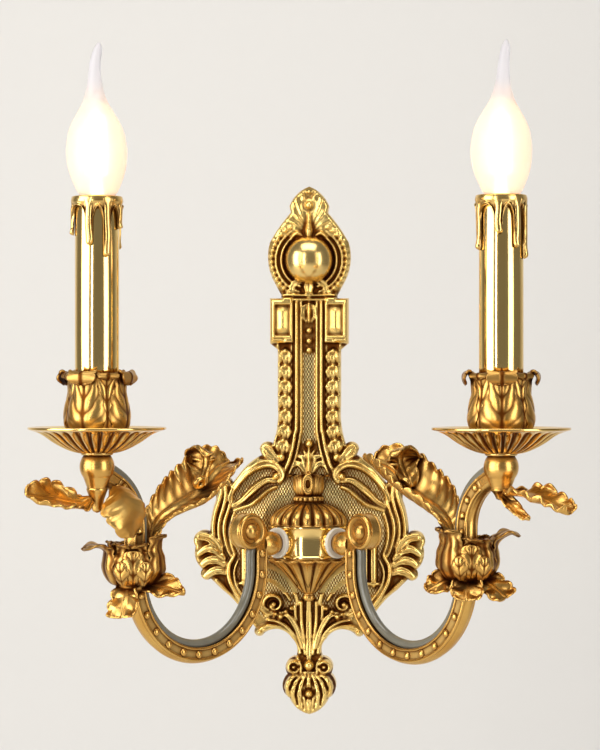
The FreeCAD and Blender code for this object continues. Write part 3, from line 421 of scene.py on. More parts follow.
class Carving:
    """Height of the carved face over its ground, the same on the left as on the right."""

    def __init__(self, x, z):
        self.x, self.z, self.h = np.abs(x), z, np.zeros_like(x)

    def stroke(self, points, wide, proud, section=dome):
        groove = 0.7
        line = smooth_line(points)
        reach = max(wide) + groove + 0.2
        low, high = line.min(0) - reach, line.max(0) + reach
        near = np.nonzero((self.x > low[0]) & (self.x < high[0]) & (self.z > low[1]) & (self.z < high[1]))
        if len(near[0]) == 0:
            return
        gap, which, share, side = to_segments(self.x[near], self.z[near], line[:-1], line[1:])
        along = (which + share) / (len(line) - 1)
        knots = np.linspace(0, 1, len(wide))
        width = np.interp(along, knots, wide)
        top = np.interp(along, np.linspace(0, 1, len(proud)), proud)
        q = gap / width
        old = self.h[near]
        off = np.clip((gap - width) / groove, 0, 1)
        pressed = np.where(q >= 1, old * (0.45 + 0.55 * off * off * (3 - 2 * off)), old)
        raised = top * section(np.clip(q * side, -1, 1), along)
        self.h[near] = np.where(q < 1, np.maximum(raised, old * 0.4), pressed)

    def bead(self, x, z, r, proud=None):
        groove = 0.5
        gap = np.hypot(self.x - x, self.z - z)
        near = gap < r + groove
        q = np.clip(gap[near] / r, 0, 1)
        raised = (proud or r) * np.sqrt(1 - q ** 2)
        off = np.clip((gap[near] - r) / groove, 0, 1)
        pressed = self.h[near] * (0.4 + 0.6 * off)
        self.h[near] = np.where(q < 1, np.maximum(raised, self.h[near] * 0.5), pressed)

    def ring(self, x, z, r, wide, proud, begin, end):
        turns = np.radians(np.linspace(begin, end, 24))
        self.stroke([(x + r * math.cos(a), z + r * math.sin(a)) for a in turns], (wide,), (proud,))

    def rise(self, mask, height):
        self.h = np.where(mask, np.maximum(self.h, height), self.h)


# %% [markdown]
# The strokes follow the casting from the top down: a palmette round a polished ball, a capital with two
# sunk panels, a shaft with rails and strings of husks, then the scrolled body and the bud that ends it.
# Coordinates are millimetres to the right of the middle line and above the hub.

# %% Palmette and capital
MEDAL_Z, MEDAL_R = 173.1, 15.0         # the polished ball: its height, its radius


def carve_palmette(c):
    fan = [((1.6, 190), (7.5, 192.8), (16.4, 194.0)), ((1.5, 191.2), (6.8, 197.0), (13.4, 200.6)),
           ((1.2, 193), (4.9, 200), (10.2, 206.4)), ((0.8, 195), (3.0, 202.6), (5.6, 211.0))]
    for path in fan:
        c.stroke(path, (1.2, 3.0, 3.6), (1.6, 3.6, 2.6), trough)
    c.stroke([(22.0, 187.0), (17.6, 190.2), (11.0, 189.2), (5.0, 186.4)], (2.2, 2.4, 1.4), (2.2, 3.0, 1.8),
             trough)
    for r, wide, proud in ((17.0, 1.1, 3.4), (20.4, 0.8, 2.2)):
        c.ring(0, MEDAL_Z, r, wide, proud, -72, 60)
    for a in range(-66, 64, 9):
        t = math.radians(a)
        c.bead(23.3 * math.cos(t), MEDAL_Z + 23.3 * math.sin(t), 1.75, 2.6)
    c.stroke([(3.5, 187.5), (7.5, 189.5), (10.5, 187.0)], (1.2, 1.9, 1.0), (3.0, 4.4, 2.6))
    c.stroke([(0, 203), (0, 197), (0, 191), (0, 187.2)], (0.9, 1.5, 3.0, 2.2), (3.2, 4.2, 6.2, 5.4))
    c.bead(0, 206.9, 4.0, 1.8)
    c.bead(0, 206.9, 2.7, 3.6)
    c.bead(0, 215.2, 1.5, 2.2)
    c.stroke([(2.2, 159.6), (6.2, 160.2), (9.8, 157.4), (10.6, 154.0)], (1.5, 2.3, 1.2), (3.6, 4.6, 2.4),
             trough)
    c.stroke([(0, 161.0), (0, 156.5), (0, 149.8)], (1.6, 3.4, 1.2), (4.5, 6.0, 4.6), trough)
    c.stroke([(0, 151.4), (17.2, 151.4)], (0.9,), (2.6,))


def carve_capital(c):
    block = (c.x > 9.6) & (c.x < 24.5) & (c.z > 122.0) & (c.z < 149.8)
    c.rise(block, 4.2)
    dx, dz = np.abs(c.x - 16.2) / 4.9, np.abs(c.z - 136.0) / 9.3
    sunk = np.maximum(dx, dz)
    floor = 2.4 + 2.1 * np.clip(1 - dx, 0, 1) * np.clip((1 - dz) * 2.2, 0, 1)
    c.h = np.where(block & (sunk < 1), floor, c.h)
    lip = block & (sunk > 1) & (sunk < 1.16)
    c.h = np.where(lip, 4.7, c.h)
    c.stroke([(16.2, 123.6), (24.0, 123.6)], (0.8,), (5.2,))
    c.stroke([(0, 148.6), (9.4, 148.6)], (0.9,), (3.4,))
    c.stroke([(1.3, 145.6), (3.2, 143.0), (3.4, 139.4), (1.9, 135.4)], (1.1, 1.5, 1.4, 0.8),
             (2.8, 4.0, 3.4, 2.2), trough)
    c.stroke([(0, 146.4), (0, 141.0), (0, 134.6)], (1.0, 1.5, 0.9), (3.2, 4.6, 3.0))
    for z in (129.6, 123.2, 117.4):
        c.bead(0, z, 2.1, 3.0)


# %% Shaft
def carve_shaft(c):
    c.stroke([(19.2, 121), (19.0, 100), (19.1, 84), (19.8, 70), (22.0, 59)], (0.9,), (1.8, 1.8, 2.0))
    c.stroke([(10.6, 121), (10.6, 84), (11.4, 70), (14.0, 58)], (0.7,), (1.5,))
    c.stroke([(7.7, 148.0), (7.7, 76), (8.6, 66), (10.2, 57), (12.6, 48.5), (15.4, 42.5)], (1.5, 1.5, 1.7),
             (4.0,))
    c.stroke([(4.9, 148.0), (4.9, 76), (5.5, 65), (7.3, 55), (10.0, 46.5), (12.6, 40.0)], (0.95,), (2.9,))
    for i in range(7):
        z = 117.0 - 9.2 * i
        x = 14.7 + max(0.0, (76 - z)) * 0.10
        c.stroke([(x - 1.0, z + 0.4), (x - 3.4, z - 3.6), (x - 2.2, z - 7.6)], (1.1, 1.9, 0.9),
                 (2.6, 3.6, 1.8))
        c.stroke([(x + 1.0, z + 0.4), (x + 3.2, z - 3.6), (x + 2.6, z - 6.6)], (1.1, 1.9, 0.9),
                 (2.6, 3.6, 1.8))
        c.stroke([(x, z - 0.8), (x, z - 4.8), (x, z - 8.2)], (1.2, 1.8, 0.8), (3.4, 4.6, 2.2), trough)
        c.bead(x, z, 1.9, 3.6)
    c.bead(17.2, 51.2, 3.0, 4.2)
    c.stroke([(2.4, 42.4), (4.6, 46.0), (7.0, 47.8), (8.8, 46.4)], (1.1, 1.8, 1.1), (3.0, 4.0, 3.0), trough)
    c.stroke([(1.2, 44.0), (2.2, 48.2), (3.8, 51.4), (6.0, 51.8)], (1.1, 1.7, 1.1), (3.2, 4.2, 3.2), trough)
    c.stroke([(0.8, 49.6), (1.8, 53.2), (3.2, 55.4)], (0.9, 1.2, 0.7), (2.8, 3.4, 2.6))
    c.stroke([(0, 57.0), (0, 50), (0, 42.5)], (0.9, 1.3, 1.4), (4.2, 4.4, 3.6))
    c.bead(0, 59.6, 2.6, 4.6)


# %% Scrolled body
CURL_X, CURL_Z = 21.6, -39.0          # centre of the curl under the hub


def carve_body(c):
    sweeps = [
        # outer leaf that follows the plate's edge
        ([(54.6, 37.0), (54.0, 31.0), (55.4, 25.0), (58.0, 17.0), (59.2, 9.0), (58.6, 1.0), (56.0, -7.0)],
         (1.5, 2.0, 1.7), (3.0, 3.6, 2.8)),
        ([(51.6, 33.2), (51.4, 27.5), (53.0, 20.0), (55.2, 12.0), (55.6, 4.0), (53.6, -4.0)], (1.3, 1.7, 1.3),
         (2.6, 3.2, 2.4)),
        ([(47.8, 26.4), (49.6, 19.5), (51.9, 12.0), (52.3, 4.5), (50.4, -4.0), (48.6, -9.0)], (1.2, 1.6, 1.2),
         (2.6, 3.0, 2.2)),
        ([(45.4, 19.6), (47.6, 13.0), (48.9, 5.5), (48.0, -2.0), (45.6, -9.0)], (0.9, 1.4, 1.0),
         (2.4, 2.8, 2.0)),
        # bands of the shoulder scroll
        ([(20.0, 33.4), (25.0, 31.2), (30.4, 26.6), (35.5, 22.6), (41.0, 20.6), (46.4, 18.6)],
         (1.2, 1.8, 1.3), (2.8, 3.4, 2.4), fluted(1)),
        ([(20.8, 37.0), (25.6, 37.4), (31.0, 34.4), (36.6, 29.4), (41.6, 24.6), (46.8, 21.4)],
         (1.6, 2.5, 1.4), (3.2, 4.0, 2.6), fluted(2)),
        ([(18.0, 36.6), (16.2, 40.2), (18.8, 45.0), (24.4, 47.6), (30.8, 46.8), (37.0, 43.2), (42.4, 37.6),
          (47.0, 31.0), (49.2, 25.0)],
         (1.6, 2.7, 3.3, 2.4, 1.4), (3.8, 4.8, 4.6, 3.4, 2.4), fluted(2)),
        ([(31.6, 50.6), (38.0, 45.6), (43.6, 39.4), (47.6, 33.6)], (0.9, 1.2, 0.9), (1.8, 2.2, 1.8)),
        # leaf on the shoulder
        ([(19.6, 49.6), (22.6, 53.2), (25.4, 56.6), (28.4, 58.4)], (1.8, 2.6, 2.0), (3.0, 3.8, 3.0), trough),
        ([(23.4, 50.2), (27.0, 52.4), (29.0, 55.4)], (1.0, 1.3, 0.8), (2.4, 2.8, 2.0)),
        # wing beside the hub
        ([(49.6, -20.6), (54.6, -18.4), (59.6, -19.0), (65.2, -23.2)], (1.8, 3.2, 1.8), (3.0, 4.2, 2.6),
         fluted(3)),
        ([(50.6, -15.6), (56.6, -12.2), (62.4, -12.4), (67.4, -16.4)], (1.8, 3.3, 1.8), (3.2, 4.6, 2.8),
         fluted(3)),
        ([(52.4, -11.0), (57.4, -6.2), (62.6, -4.8), (68.4, -8.2)], (1.6, 3.2, 1.8), (3.4, 5.0, 3.2),
         fluted(3)),
        ([(54.4, -6.4), (57.8, -1.4), (62.0, 1.8), (67.0, 2.6)], (1.6, 2.9, 2.4), (3.6, 5.4, 4.2), trough),
        # rims of the lower oval
        ([(57.4, -24.2), (52.0, -30.0), (46.8, -35.4), (41.8, -41.6), (37.0, -48.0), (33.6, -52.6)],
         (1.2, 1.8, 1.2), (2.4, 3.0, 2.2)),
        ([(46.4, -9.6), (49.4, -15.6), (49.4, -23.0), (46.4, -30.2), (42.0, -37.0), (36.6, -43.4)],
         (1.5, 1.8, 1.4), (3.2, 3.8, 2.8)),
        ([(43.6, -12.0), (46.0, -18.0), (45.6, -25.0), (42.4, -31.8), (37.6, -37.6), (32.6, -42.0)],
         (0.8, 1.0, 0.8), (2.4, 2.8, 2.2)),
        # curved straps that cross under the hub
        ([(25.6, -15.0), (19.6, -17.4), (14.4, -21.4), (10.4, -26.8), (8.0, -33.0), (6.8, -38.8)],
         (1.6, 1.6, 1.2), (3.2, 3.2, 2.6), fluted(2)),
        ([(11.6, -36.4), (15.6, -30.2), (20.6, -25.8), (26.4, -23.6), (32.0, -24.8)], (1.1, 1.5, 1.1),
         (2.8, 3.4, 2.6), fluted(1)),
    ]
    for row in sweeps:
        c.stroke(*row)
    c.bead(20.2, 39.8, 2.6, 4.6)
    c.bead(54.5, 37.4, 2.0, 3.2)
    for x, low, high, wide, proud in ((39.9, -26.5, 6.0, 2.0, 4.4), (35.4, -24.0, 4.0, 1.0, 3.0)):
        c.stroke([(x, high), (x, low)], (wide,), (proud,), flat)
    c.stroke([(36.0, -26.2), (42.6, -26.2)], (1.2,), (3.6,), flat)
    curl = [(CURL_X + (6.6 - 0.013 * a) * math.cos(math.radians(a)),
             CURL_Z + (6.6 - 0.013 * a) * math.sin(math.radians(a))) for a in range(-60, 380, 20)]
    c.stroke(curl, (1.7, 1.3, 0.9), (4.0, 4.4, 4.8))
    for lean, reach in ((250, 7.4), (285, 8.6), (318, 8.0)):
        a = math.radians(lean)
        c.stroke([(CURL_X + 5.4 * math.cos(a), CURL_Z + 5.4 * math.sin(a)),
                  (CURL_X + reach * math.cos(a + 0.3), CURL_Z + reach * math.sin(a + 0.3))], (1.2, 1.9, 1.2),
                 (3.2, 4.4, 3.0), trough)
    c.bead(CURL_X, CURL_Z, 2.2, 5.2)
    c.stroke([(24.6, -45.6), (29.0, -42.4), (31.6, -37.0), (32.2, -31.0)], (1.0, 1.5, 0.9), (2.6, 3.2, 2.2))


# %% Leaves and bud at the foot
def carve_foot(c):
    for row in [
        ([(8.4, -40.0), (8.0, -48.0), (6.2, -57.0), (4.0, -66.5)], (1.2, 1.6, 0.9), (2.6, 3.2, 2.4)),
        ([(4.6, -37.5), (4.6, -48.0), (3.6, -59.0), (2.4, -70.0)], (1.3, 1.7, 1.0), (3.0, 3.8, 2.8)),
        ([(0, -36.5), (0, -52.0), (0, -72.5)], (1.6, 1.9, 1.5), (3.6, 4.6, 3.6), trough),
        ([(5.6, -66.5), (9.0, -59.0), (13.6, -53.4), (19.4, -49.8), (25.0, -48.8)], (1.0, 1.8, 1.0),
         (2.8, 3.6, 2.4)),
        ([(5.6, -69.0), (9.6, -61.4), (14.8, -56.2), (20.6, -53.6), (26.0, -53.4), (30.4, -55.8)],
         (1.3, 2.5, 1.8), (3.0, 4.2, 3.6), fluted(2)),
        ([(3.8, -66.0), (6.2, -57.5), (9.2, -50.6), (13.0, -46.0), (17.6, -44.6)], (1.2, 2.2, 1.5),
         (3.4, 4.6, 3.8), fluted(2)),
        ([(6.6, -72.8), (8.6, -70.4), (8.6, -66.0)], (0.9,), (2.6,)),
    ]:
        c.stroke(*row)
    for x, z, r in ((17.4, -46.6, 2.2), (14.2, -43.4, 1.7), (20.4, -45.0, 1.6), (10.8, -41.4, 1.7)):
        c.bead(x, z, r, 4.6)
    c.bead(30.4, -56.6, 2.0, 3.8)
    bulge = 1 - (c.x / 14.6) ** 2 - ((c.z + 92.5) / 17.0) ** 2
    c.rise((bulge > 0) & (c.z < -80), 5.5 * np.sqrt(np.clip(bulge, 0, 1)))
    for path in ([(6.2, -81.6), (10.8, -84.6), (13.2, -90.0), (12.0, -95.6)],
                 [(4.2, -82.2), (8.2, -87.4), (9.8, -94.0), (8.2, -100.0)],
                 [(2.2, -82.6), (4.9, -89.0), (5.8, -96.4), (4.4, -103.0)],
                 [(0, -82.6), (0, -88.0), (0, -105.0)]):
        c.stroke(path, (1.1, 1.9, 1.3), (5.2, 7.4, 4.6), leafy(4))
    c.bead(0, -93.6, 3.0, 8.6)
    c.ring(9.3, -77.7, 3.3, 1.3, 4.6, -160, 150)
    c.bead(9.3, -77.7, 1.7, 4.8)
    c.stroke([(5.6, -74.4), (4.6, -78.0), (5.2, -81.4)], (1.0,), (3.6,))
    c.bead(0, -76.6, 3.7, 6.2)


# %% [markdown]
# The strokes are laid on a grid of about half a millimetre.  The field behind the hub swells gently, so its
# height is added first.  Whatever lies outside the outline is trimmed away and the last row of points is
# drawn onto the outline, so that face and side walls meet.  They aren't welded: the seam stays two open rims.

# %% The face as one surface
PITCH = 0.5       # mm between the grid's points


def blurred(field, times):
    for _ in range(times):
        field = ((np.roll(field, 1, 0) + np.roll(field, -1, 0) + np.roll(field, 1, 1) + np.roll(field, -1, 1)
                  + 2 * field) / 6)
    return field


def plate_face():
    low, high = OUTLINE.min((0, 1)) - 1.2, OUTLINE.max((0, 1)) + 1.2
    nx, nz = int((high[0] - low[0]) / PITCH), int((high[1] - low[1]) / PITCH)
    bm = bmesh.new()
    bmesh.ops.create_grid(bm, x_segments=nx, y_segments=nz, size=0.5)
    bm.verts.ensure_lookup_table()
    flat_xy = np.array([v.co.xy for v in bm.verts])
    x = low[0] + (flat_xy[:, 0] + 0.5) * (high[0] - low[0])
    z = low[1] + (flat_xy[:, 1] + 0.5) * (high[1] - low[1])
    x, z = x.reshape(nz + 1, nx + 1), z.reshape(nz + 1, nx + 1)
    carving = Carving(x, z)
    for carve in (carve_palmette, carve_shaft, carve_capital, carve_body, carve_foot):
        carve(carving)
    relief = blurred(carving.h, 2)
    from_hub = np.hypot(x, z)
    ground = 12.0 + 4.0 * np.clip((50 - from_hub) / 18, 0, 1)
    behind_hub = (np.abs(x) < 25.5) & (z > -32) & (z < 29) | (np.abs(x) < 12.5) & (z > 20) & (z < 42)
    depth = np.where(behind_hub, np.minimum(ground + relief, 15.8), ground + relief)
    gap, which, share, _ = to_segments(x, z, OUTLINE[:, 0], OUTLINE[:, 1])
    is_in = inside(x, z, OUTLINE)
    round_off = np.sqrt(np.clip(1 - (1 - np.clip(gap / 2.2, 0, 1)) ** 2, 0, 1))
    depth = FACE + (depth - FACE) * round_off
    keep = is_in | (gap < 0.3 * PITCH)
    # Painted shade: in the carving's recesses, where the blurred relief stands above the relief itself, the colour
    # darkens; on the stippled ground it darkens less.
    shut = np.clip((blurred(relief, 34) - relief) / 1.3, 0, 1)
    stipple = ((relief < 0.9) & ((from_hub < 55) | ((np.abs(x) < 4.6) & (z > 60) & (z < 116)))).astype(float)
    shut = shut * (1 - 0.65 * stipple)
    return bm, x, z, depth, keep, which, share, shut, stipple


def near_outline(which, share):
    start, end = OUTLINE[which, 0], OUTLINE[which, 1]
    return start + (end - start) * share[:, None]


def join_face(bm, x, z, depth, keep, which, share, shut, stipple):
    points = np.stack([x.ravel(), -depth.ravel(), z.ravel()], 1) * MM
    keep, hollow, dots = keep.ravel(), shut.ravel(), stipple.ravel()
    onto = near_outline(which.ravel(), share.ravel())
    # Each point keeps how much painted shade its colour gets, and whether it lies on the stippled ground.
    recess_shade_layer = bm.verts.layers.float.new("shut")
    dots_layer = bm.verts.layers.float.new("stipple")
    number = bm.verts.layers.int.new("number")
    for i, v in enumerate(bm.verts):
        v.co = points[i]
        v[recess_shade_layer], v[dots_layer], v[number] = hollow[i], dots[i], i
    outside = [f for f in bm.faces if not all(keep[v[number]] for v in f.verts)]
    bmesh.ops.delete(bm, geom=outside, context="FACES")
    for v in bm.verts:
        if v.is_boundary:
            px, pz = onto[v[number]]
            v.co = Vector((px * MM, -FACE * MM, pz * MM))
    bm.verts.layers.int.remove(number)
    for f in bm.faces:
        f.smooth = True
    return bm


def join(bm, other):
    """Adds another bmesh to this one."""
    spare = bpy.data.meshes.new("spare")
    other.to_mesh(spare)
    other.free()
    bm.from_mesh(spare)
    bpy.data.meshes.remove(spare)


SAW_Y = -15.6     # where hub, urn and pendant meet the plate


def sawn(bm, y=SAW_Y):
    """Cuts the piece flat at y in mm and closes the cut."""
    everything = bm.verts[:] + bm.edges[:] + bm.faces[:]
    cut = bmesh.ops.bisect_plane(bm, geom=everything, dist=1e-7, plane_co=(0, y * MM, 0), plane_no=(0, 1, 0),
                                 clear_outer=True)
    rim = [e for e in cut["geom_cut"] if isinstance(e, bmesh.types.BMEdge) and e.is_boundary]
    bmesh.ops.holes_fill(bm, edges=rim)
    return bm


def tidy(bm, merge=1e-6):
    bmesh.ops.remove_doubles(bm, verts=bm.verts, dist=merge)
    bmesh.ops.recalc_face_normals(bm, faces=bm.faces)


def to_piece(bm, name, node, materials, body=None, smooth=True):
    """Turns a bmesh into a piece that stands for a node and rides with it."""
    mesh = bpy.data.meshes.new(name)
    bm.to_mesh(mesh)
    bm.free()
    if smooth:
        mesh.shade_smooth()
    for material in materials if isinstance(materials, (list, tuple)) else [materials]:
        mesh.materials.append(material)
    piece = bpy.data.objects.new(name, mesh)
    bpy.context.scene.collection.objects.link(piece)
    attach(piece, body or BODY_OF[node])
    if node:
        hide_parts(node)
    return piece


BODY_OF = {n: b for b, names in frame["record"]["behaviour"]["bodies"].items() for n in names}


def carved_plate():
    bm = join_face(*plate_face())
    join(WALLS, bm)
    for f in WALLS.faces:
        f.material_index = 0
    ball = bmesh.new()
    bmesh.ops.create_uvsphere(ball, u_segments=72, v_segments=40, radius=MEDAL_R * MM,
                              matrix=Matrix.Translation((0, -12.6 * MM, MEDAL_Z * MM)))
    sawn(ball, -FACE)
    for f in ball.faces:
        f.material_index, f.smooth = 1, True
    join(WALLS, ball)
    return to_piece(WALLS, "carved_plate", "back_plate", [PLATE, BALL], smooth=False)


plate = carved_plate()
print("plate faces:", len(plate.data.polygons))

# %% [markdown]
# ## Leaves
# A cast acanthus leaf is a thin curved sheet: a midrib, lobes that lean forward, veins that fan into each
# lobe, and a rim that ruffles and curls.  A flat grid is given all of that by one function of two numbers:
# how far along the midrib a point lies, and how far out towards the edge.  The same function dresses a
# petal, whose sheet bends round the cup instead of round its own midrib.  Thickness and a last smoothing are
# left to modifiers, so the sheet itself stays light.

# %% Sheets on a grid
def add_sheet(bm, along, across, place, matrix):
    """A grid whose points are placed by place(s, t): s from 0 to 1 along, t from -1 to 1 across."""
    # place also returns, for each point, how much painted shade its colour gets; it is kept as a mesh attribute.
    recess_shade_layer = bm.verts.layers.float.get("shut") or bm.verts.layers.float.new("shut")
    made = bmesh.ops.create_grid(bm, x_segments=along, y_segments=across, size=0.5)["verts"]
    st = np.array([v.co.xy for v in made]) + 0.5
    points, shut = place(st[:, 0], st[:, 1] * 2 - 1)
    turn = np.array(matrix.to_3x3())
    points = points @ turn.T + np.array(matrix.translation)
    for v, p, hollow in zip(made, points, np.clip(shut, 0, 1)):
        v.co = p
        v[recess_shade_layer] = hollow


def finish_sheet(piece, thick, levels=1):
    """Gives a sheet its wall, then rounds it."""
    wall = piece.modifiers.new("wall", "SOLIDIFY")
    wall.thickness, wall.offset = thick * MM, 0.0
    if levels:
        smooth = piece.modifiers.new("smooth", "SUBSURF")
        smooth.levels = smooth.render_levels = levels


def ring_mesh(radius, wire, matrix):
    """A round wire ring in its own XY plane."""
    bm = bmesh.new()
    bmesh.ops.create_circle(bm, segments=16, radius=wire,
                            matrix=Matrix.Translation((radius, 0, 0)) @ Matrix.Rotation(math.pi / 2, 4, "X"))
    bmesh.ops.spin(bm, geom=bm.verts[:] + bm.edges[:], cent=(0, 0, 0), axis=(0, 0, 1), angle=2 * math.pi,
                   steps=40, use_merge=True)
    tidy(bm, 1e-5)
    bm.transform(matrix)
    return bm


def spline(values, s):
    """A smooth run through evenly spaced values, read at s in 0..1."""
    rows = np.array(values, float)
    line = smooth_line(rows if rows.ndim > 1 else rows[:, None], 8)
    at = np.linspace(0, 1, len(line))
    read = [np.interp(s, at, line[:, k]) for k in range(line.shape[1])]
    return read[0] if len(read) == 1 else np.stack(read, 1)


def lobes(s, count, depth):
    return 1 - depth + depth * np.abs(np.sin(math.pi * count * s)) ** 0.5


LEAF_TIP = 0.93     # how far along its midrib a leaf begins to round off


def leaf_shape(midrib, half, rise, across, count, depth=0.25, vein=0.5, ruffle=0.8, lean=0.05,
               roll=0.0, crease=0.9, fine=2, tilt=0.0, crumple=0.7):
    """place(s, t) for a leaf; widths and rises are read along the midrib."""
    across = np.array(across, float)

    def place(s, t):
        out = np.abs(t)
        near = np.clip(s + lean * out, 0, 1)
        middle = spline(midrib, near)
        ahead = spline(midrib, np.clip(near + 0.02, 0, 1)) - spline(midrib, np.clip(near - 0.02, 0, 1))
        ahead /= np.linalg.norm(ahead, axis=1, keepdims=True)
        side = across - ahead * (ahead @ across)[:, None]
        side /= np.linalg.norm(side, axis=1, keepdims=True)
        up = np.cross(ahead, side)
        side, up = side * math.cos(tilt) + up * math.sin(tilt), up * math.cos(tilt) - side * math.sin(tilt)
        w, h = spline(half, s), np.maximum(spline(rise, s), 0.2)
        edge = (lobes(s, count, depth)
                * np.sqrt(np.clip(1 - np.clip((s - LEAF_TIP) / (1 - LEAF_TIP), 0, 1) ** 2, 0.02, 1)))
        open_angle = 2 * np.arctan2(h, w) * (1 + roll * np.clip((s - 0.6) / 0.4, 0, 1))
        radius = (w ** 2 + h ** 2) / (2 * h)
        angle = t * open_angle * edge
        point = (middle + side * (radius * np.sin(angle))[:, None]
                 + up * (radius * (1 - np.cos(angle)))[:, None])
        phase = count * s - 0.5
        fan = np.cos(2 * math.pi * (fine * phase - 0.8 * out)) * np.clip(out * 2.0, 0, 1)
        rib = np.exp(-(t / 0.07) ** 2) - 0.8 * np.exp(-((out - 0.16) / 0.06) ** 2)
        fold = np.cos(2 * math.pi * phase) * out ** 3
        rim = np.clip((out - 0.86) / 0.14, 0, 1)
        wave = vein * (0.5 * fan + crease * rib) + ruffle * (0.7 * fold + 0.8 * rim)
        wave = wave + crumple * out * (np.sin(11 * s + 3.1 * t + 1) + np.sin(17 * s - 4.3 * t) * 0.8)
        normal = -up * np.cos(angle)[:, None] + side * np.sin(angle)[:, None]
        point = point - normal * wave[:, None]
        # The second value is painted shade: darker in the grooves beside the midrib and between the veins, none on
        # the rim.
        return point, (0.35 - 0.45 * fan - 0.5 * crease * rib) * (1 - rim) * min(1.0, vein * 1.6)
    return place


# %% [markdown]
# ## Turned pieces
# Pan, urn and pendant are turned and then chased: a profile is spun round an axis and a function of angle
# and place on the profile pushes the surface in and out.  Cup bowls, sleeves, drum and bulbs are only turned.

# %% Spinning a profile
def spun(profile, steps, chase=None, matrix=None, smooth=5):
    """A closed or open profile of (radius, height) spun round Z, then chased."""
    bm = bmesh.new()
    line = smooth_line(profile, smooth) if smooth > 1 else np.array(profile, float)
    verts = [bm.verts.new((max(r, 0.0), 0, z)) for r, z in line]
    edges = [bm.edges.new(pair) for pair in zip(verts, verts[1:])]
    bmesh.ops.spin(bm, geom=verts + edges, cent=(0, 0, 0), axis=(0, 0, 1), angle=2 * math.pi, steps=steps,
                   use_merge=True)
    bmesh.ops.remove_doubles(bm, verts=bm.verts, dist=1e-4)
    # Each point keeps how much painted shade its colour gets; the chase may set it.
    recess_shade_layer = bm.verts.layers.float.new("shut")
    if chase:
        at = np.array([v.co for v in bm.verts])
        r, angle = np.hypot(at[:, 0], at[:, 1]), np.arctan2(at[:, 1], at[:, 0])
        r2, z2, shut = chase(angle, r, at[:, 2])
        for v, a, rr, zz, hollow in zip(bm.verts, angle, r2, z2, np.clip(shut, 0, 1)):
            v.co = (rr * math.cos(a), rr * math.sin(a), zz)
            v[recess_shade_layer] = hollow
    bmesh.ops.recalc_face_normals(bm, faces=bm.faces)
    for f in bm.faces:
        f.smooth = True
    if matrix:
        bm.transform(matrix)
    return bm


def at_candle(side):
    return ARM[side] @ Matrix.Translation((CANDLE_U, 0, 0))


# %% Leaves of the arms
CUP_U, CUP_Z, NECK_Z = CANDLE_U - 27.2, 9.0, 36.98
NEAR = {"left": 1.0, "right": -1.0}


def tall_leaf(side):
    u, z, near = CUP_U, CUP_Z, NEAR[side]
    midrib = [(u - 12.0, 0, z - 7), (u - 14.0, 0.5, z + 3), (u - 19.5, 1.0, z + 10), (u - 30.0, 1.5, z + 16),
              (u - 44.0, 1.0, z + 22), (u - 57.0, 0.0, z + 30), (u - 69.0, -2.0, z + 38),
              (u - 79.0, -4.0, z + 41)]
    cupped = {"left": 1.0, "right": 1.35}[side]
    rise = [h * cupped for h in (1.4, 3.4, 6.5, 9.5, 10.5, 9.0, 5.0, 1.4)]
    place = leaf_shape(midrib, [4.6, 7.5, 12.5, 16.5, 17.0, 15.0, 10.5, 3.6], rise, (0, -1, 0), 13,
                       depth=0.16, vein=0.42, ruffle=0.85, roll=0.4, lean=0.08, fine=1,
                       tilt={"left": 0.44, "right": -0.2}[side])
    bm = bmesh.new()
    add_sheet(bm, 100, 48, place, ARM[side])
    flap = [(u - 48.0, near, z + 27), (u - 54.0, 0, z + 35), (u - 57.0, -1.0, z + 42),
            (u - 55.0, -1.5, z + 48), (u - 49.0, -1.5, z + 51)]
    add_sheet(bm, 40, 32, leaf_shape(flap, [6.0, 10.0, 13.0, 13.0, 7.0], [1.4, 4.0, 5.5, 5.0, 1.6],
                                     (0, -1, 0), 4, depth=0.2, vein=0.4, ruffle=1.2, crumple=1.0), ARM[side])
    place = Matrix.Translation((u - 43.0, 9.0 * near, z + 30.0))
    turn = Matrix.Rotation(math.radians(60 * near), 4, "X")
    eye = ARM[side] @ place @ turn
    join(bm, ring_mesh(2.6, 1.0, eye))
    return to_piece(bm, f"acanthus_tall_{side}", f"tall_leaf_{side}", CAST)


OUTER = {"left": ([(4.0, 0, -4.6), (11.0, 0, -7.8), (22.0, 0.5, -6.4), (33.0, 1.0, -4.2), (43.0, 0.5, -3.0),
                   (50.5, 0, -2.0)], -0.7),
         "right": ([(5.0, 0, 0.4), (12.0, 0, -1.6), (24.0, 0, -2.6), (36.0, 0, -5.6), (46.6, 0, -9.2),
                    (54.2, 0, -10.8)], 0.12)}


def outer_leaf(side):
    u, z = CANDLE_U, NECK_Z
    route, tilt = OUTER[side]
    midrib = [(u + du, dv, z + dz) for du, dv, dz in route]
    wide = {"left": [3.4, 7.5, 11.5, 12.0, 9.0, 4.4], "right": [5.0, 11.0, 12.0, 10.4, 8.6, 4.8]}[side]
    place = leaf_shape(midrib, wide, [0.9, 2.6, 4.6, 4.8, 3.2, 1.2], (0, 1, 0), 6, depth=0.18, vein=0.22,
                       ruffle={"left": 1.2, "right": 1.9}[side], lean=0.06, fine=1, tilt=tilt, crumple=0.9)
    bm = bmesh.new()
    add_sheet(bm, 72, 40, place, ARM[side])
    drop = {"left": 1.0, "right": 0.42}[side]
    knob = ((5.2, 0.0), (4.7, 2.6), (3.4, 6.4), (2.6, 10.2), (2.0, 12.4), (0, 13.4))
    root = spun([(0, z + 0.6)] + [(r, z + 0.6 - h * drop) for r, h in knob], 40, None, at_candle(side))
    join(bm, root)
    return to_piece(bm, f"acanthus_outer_{side}", f"outer_leaf_{side}", CAST)


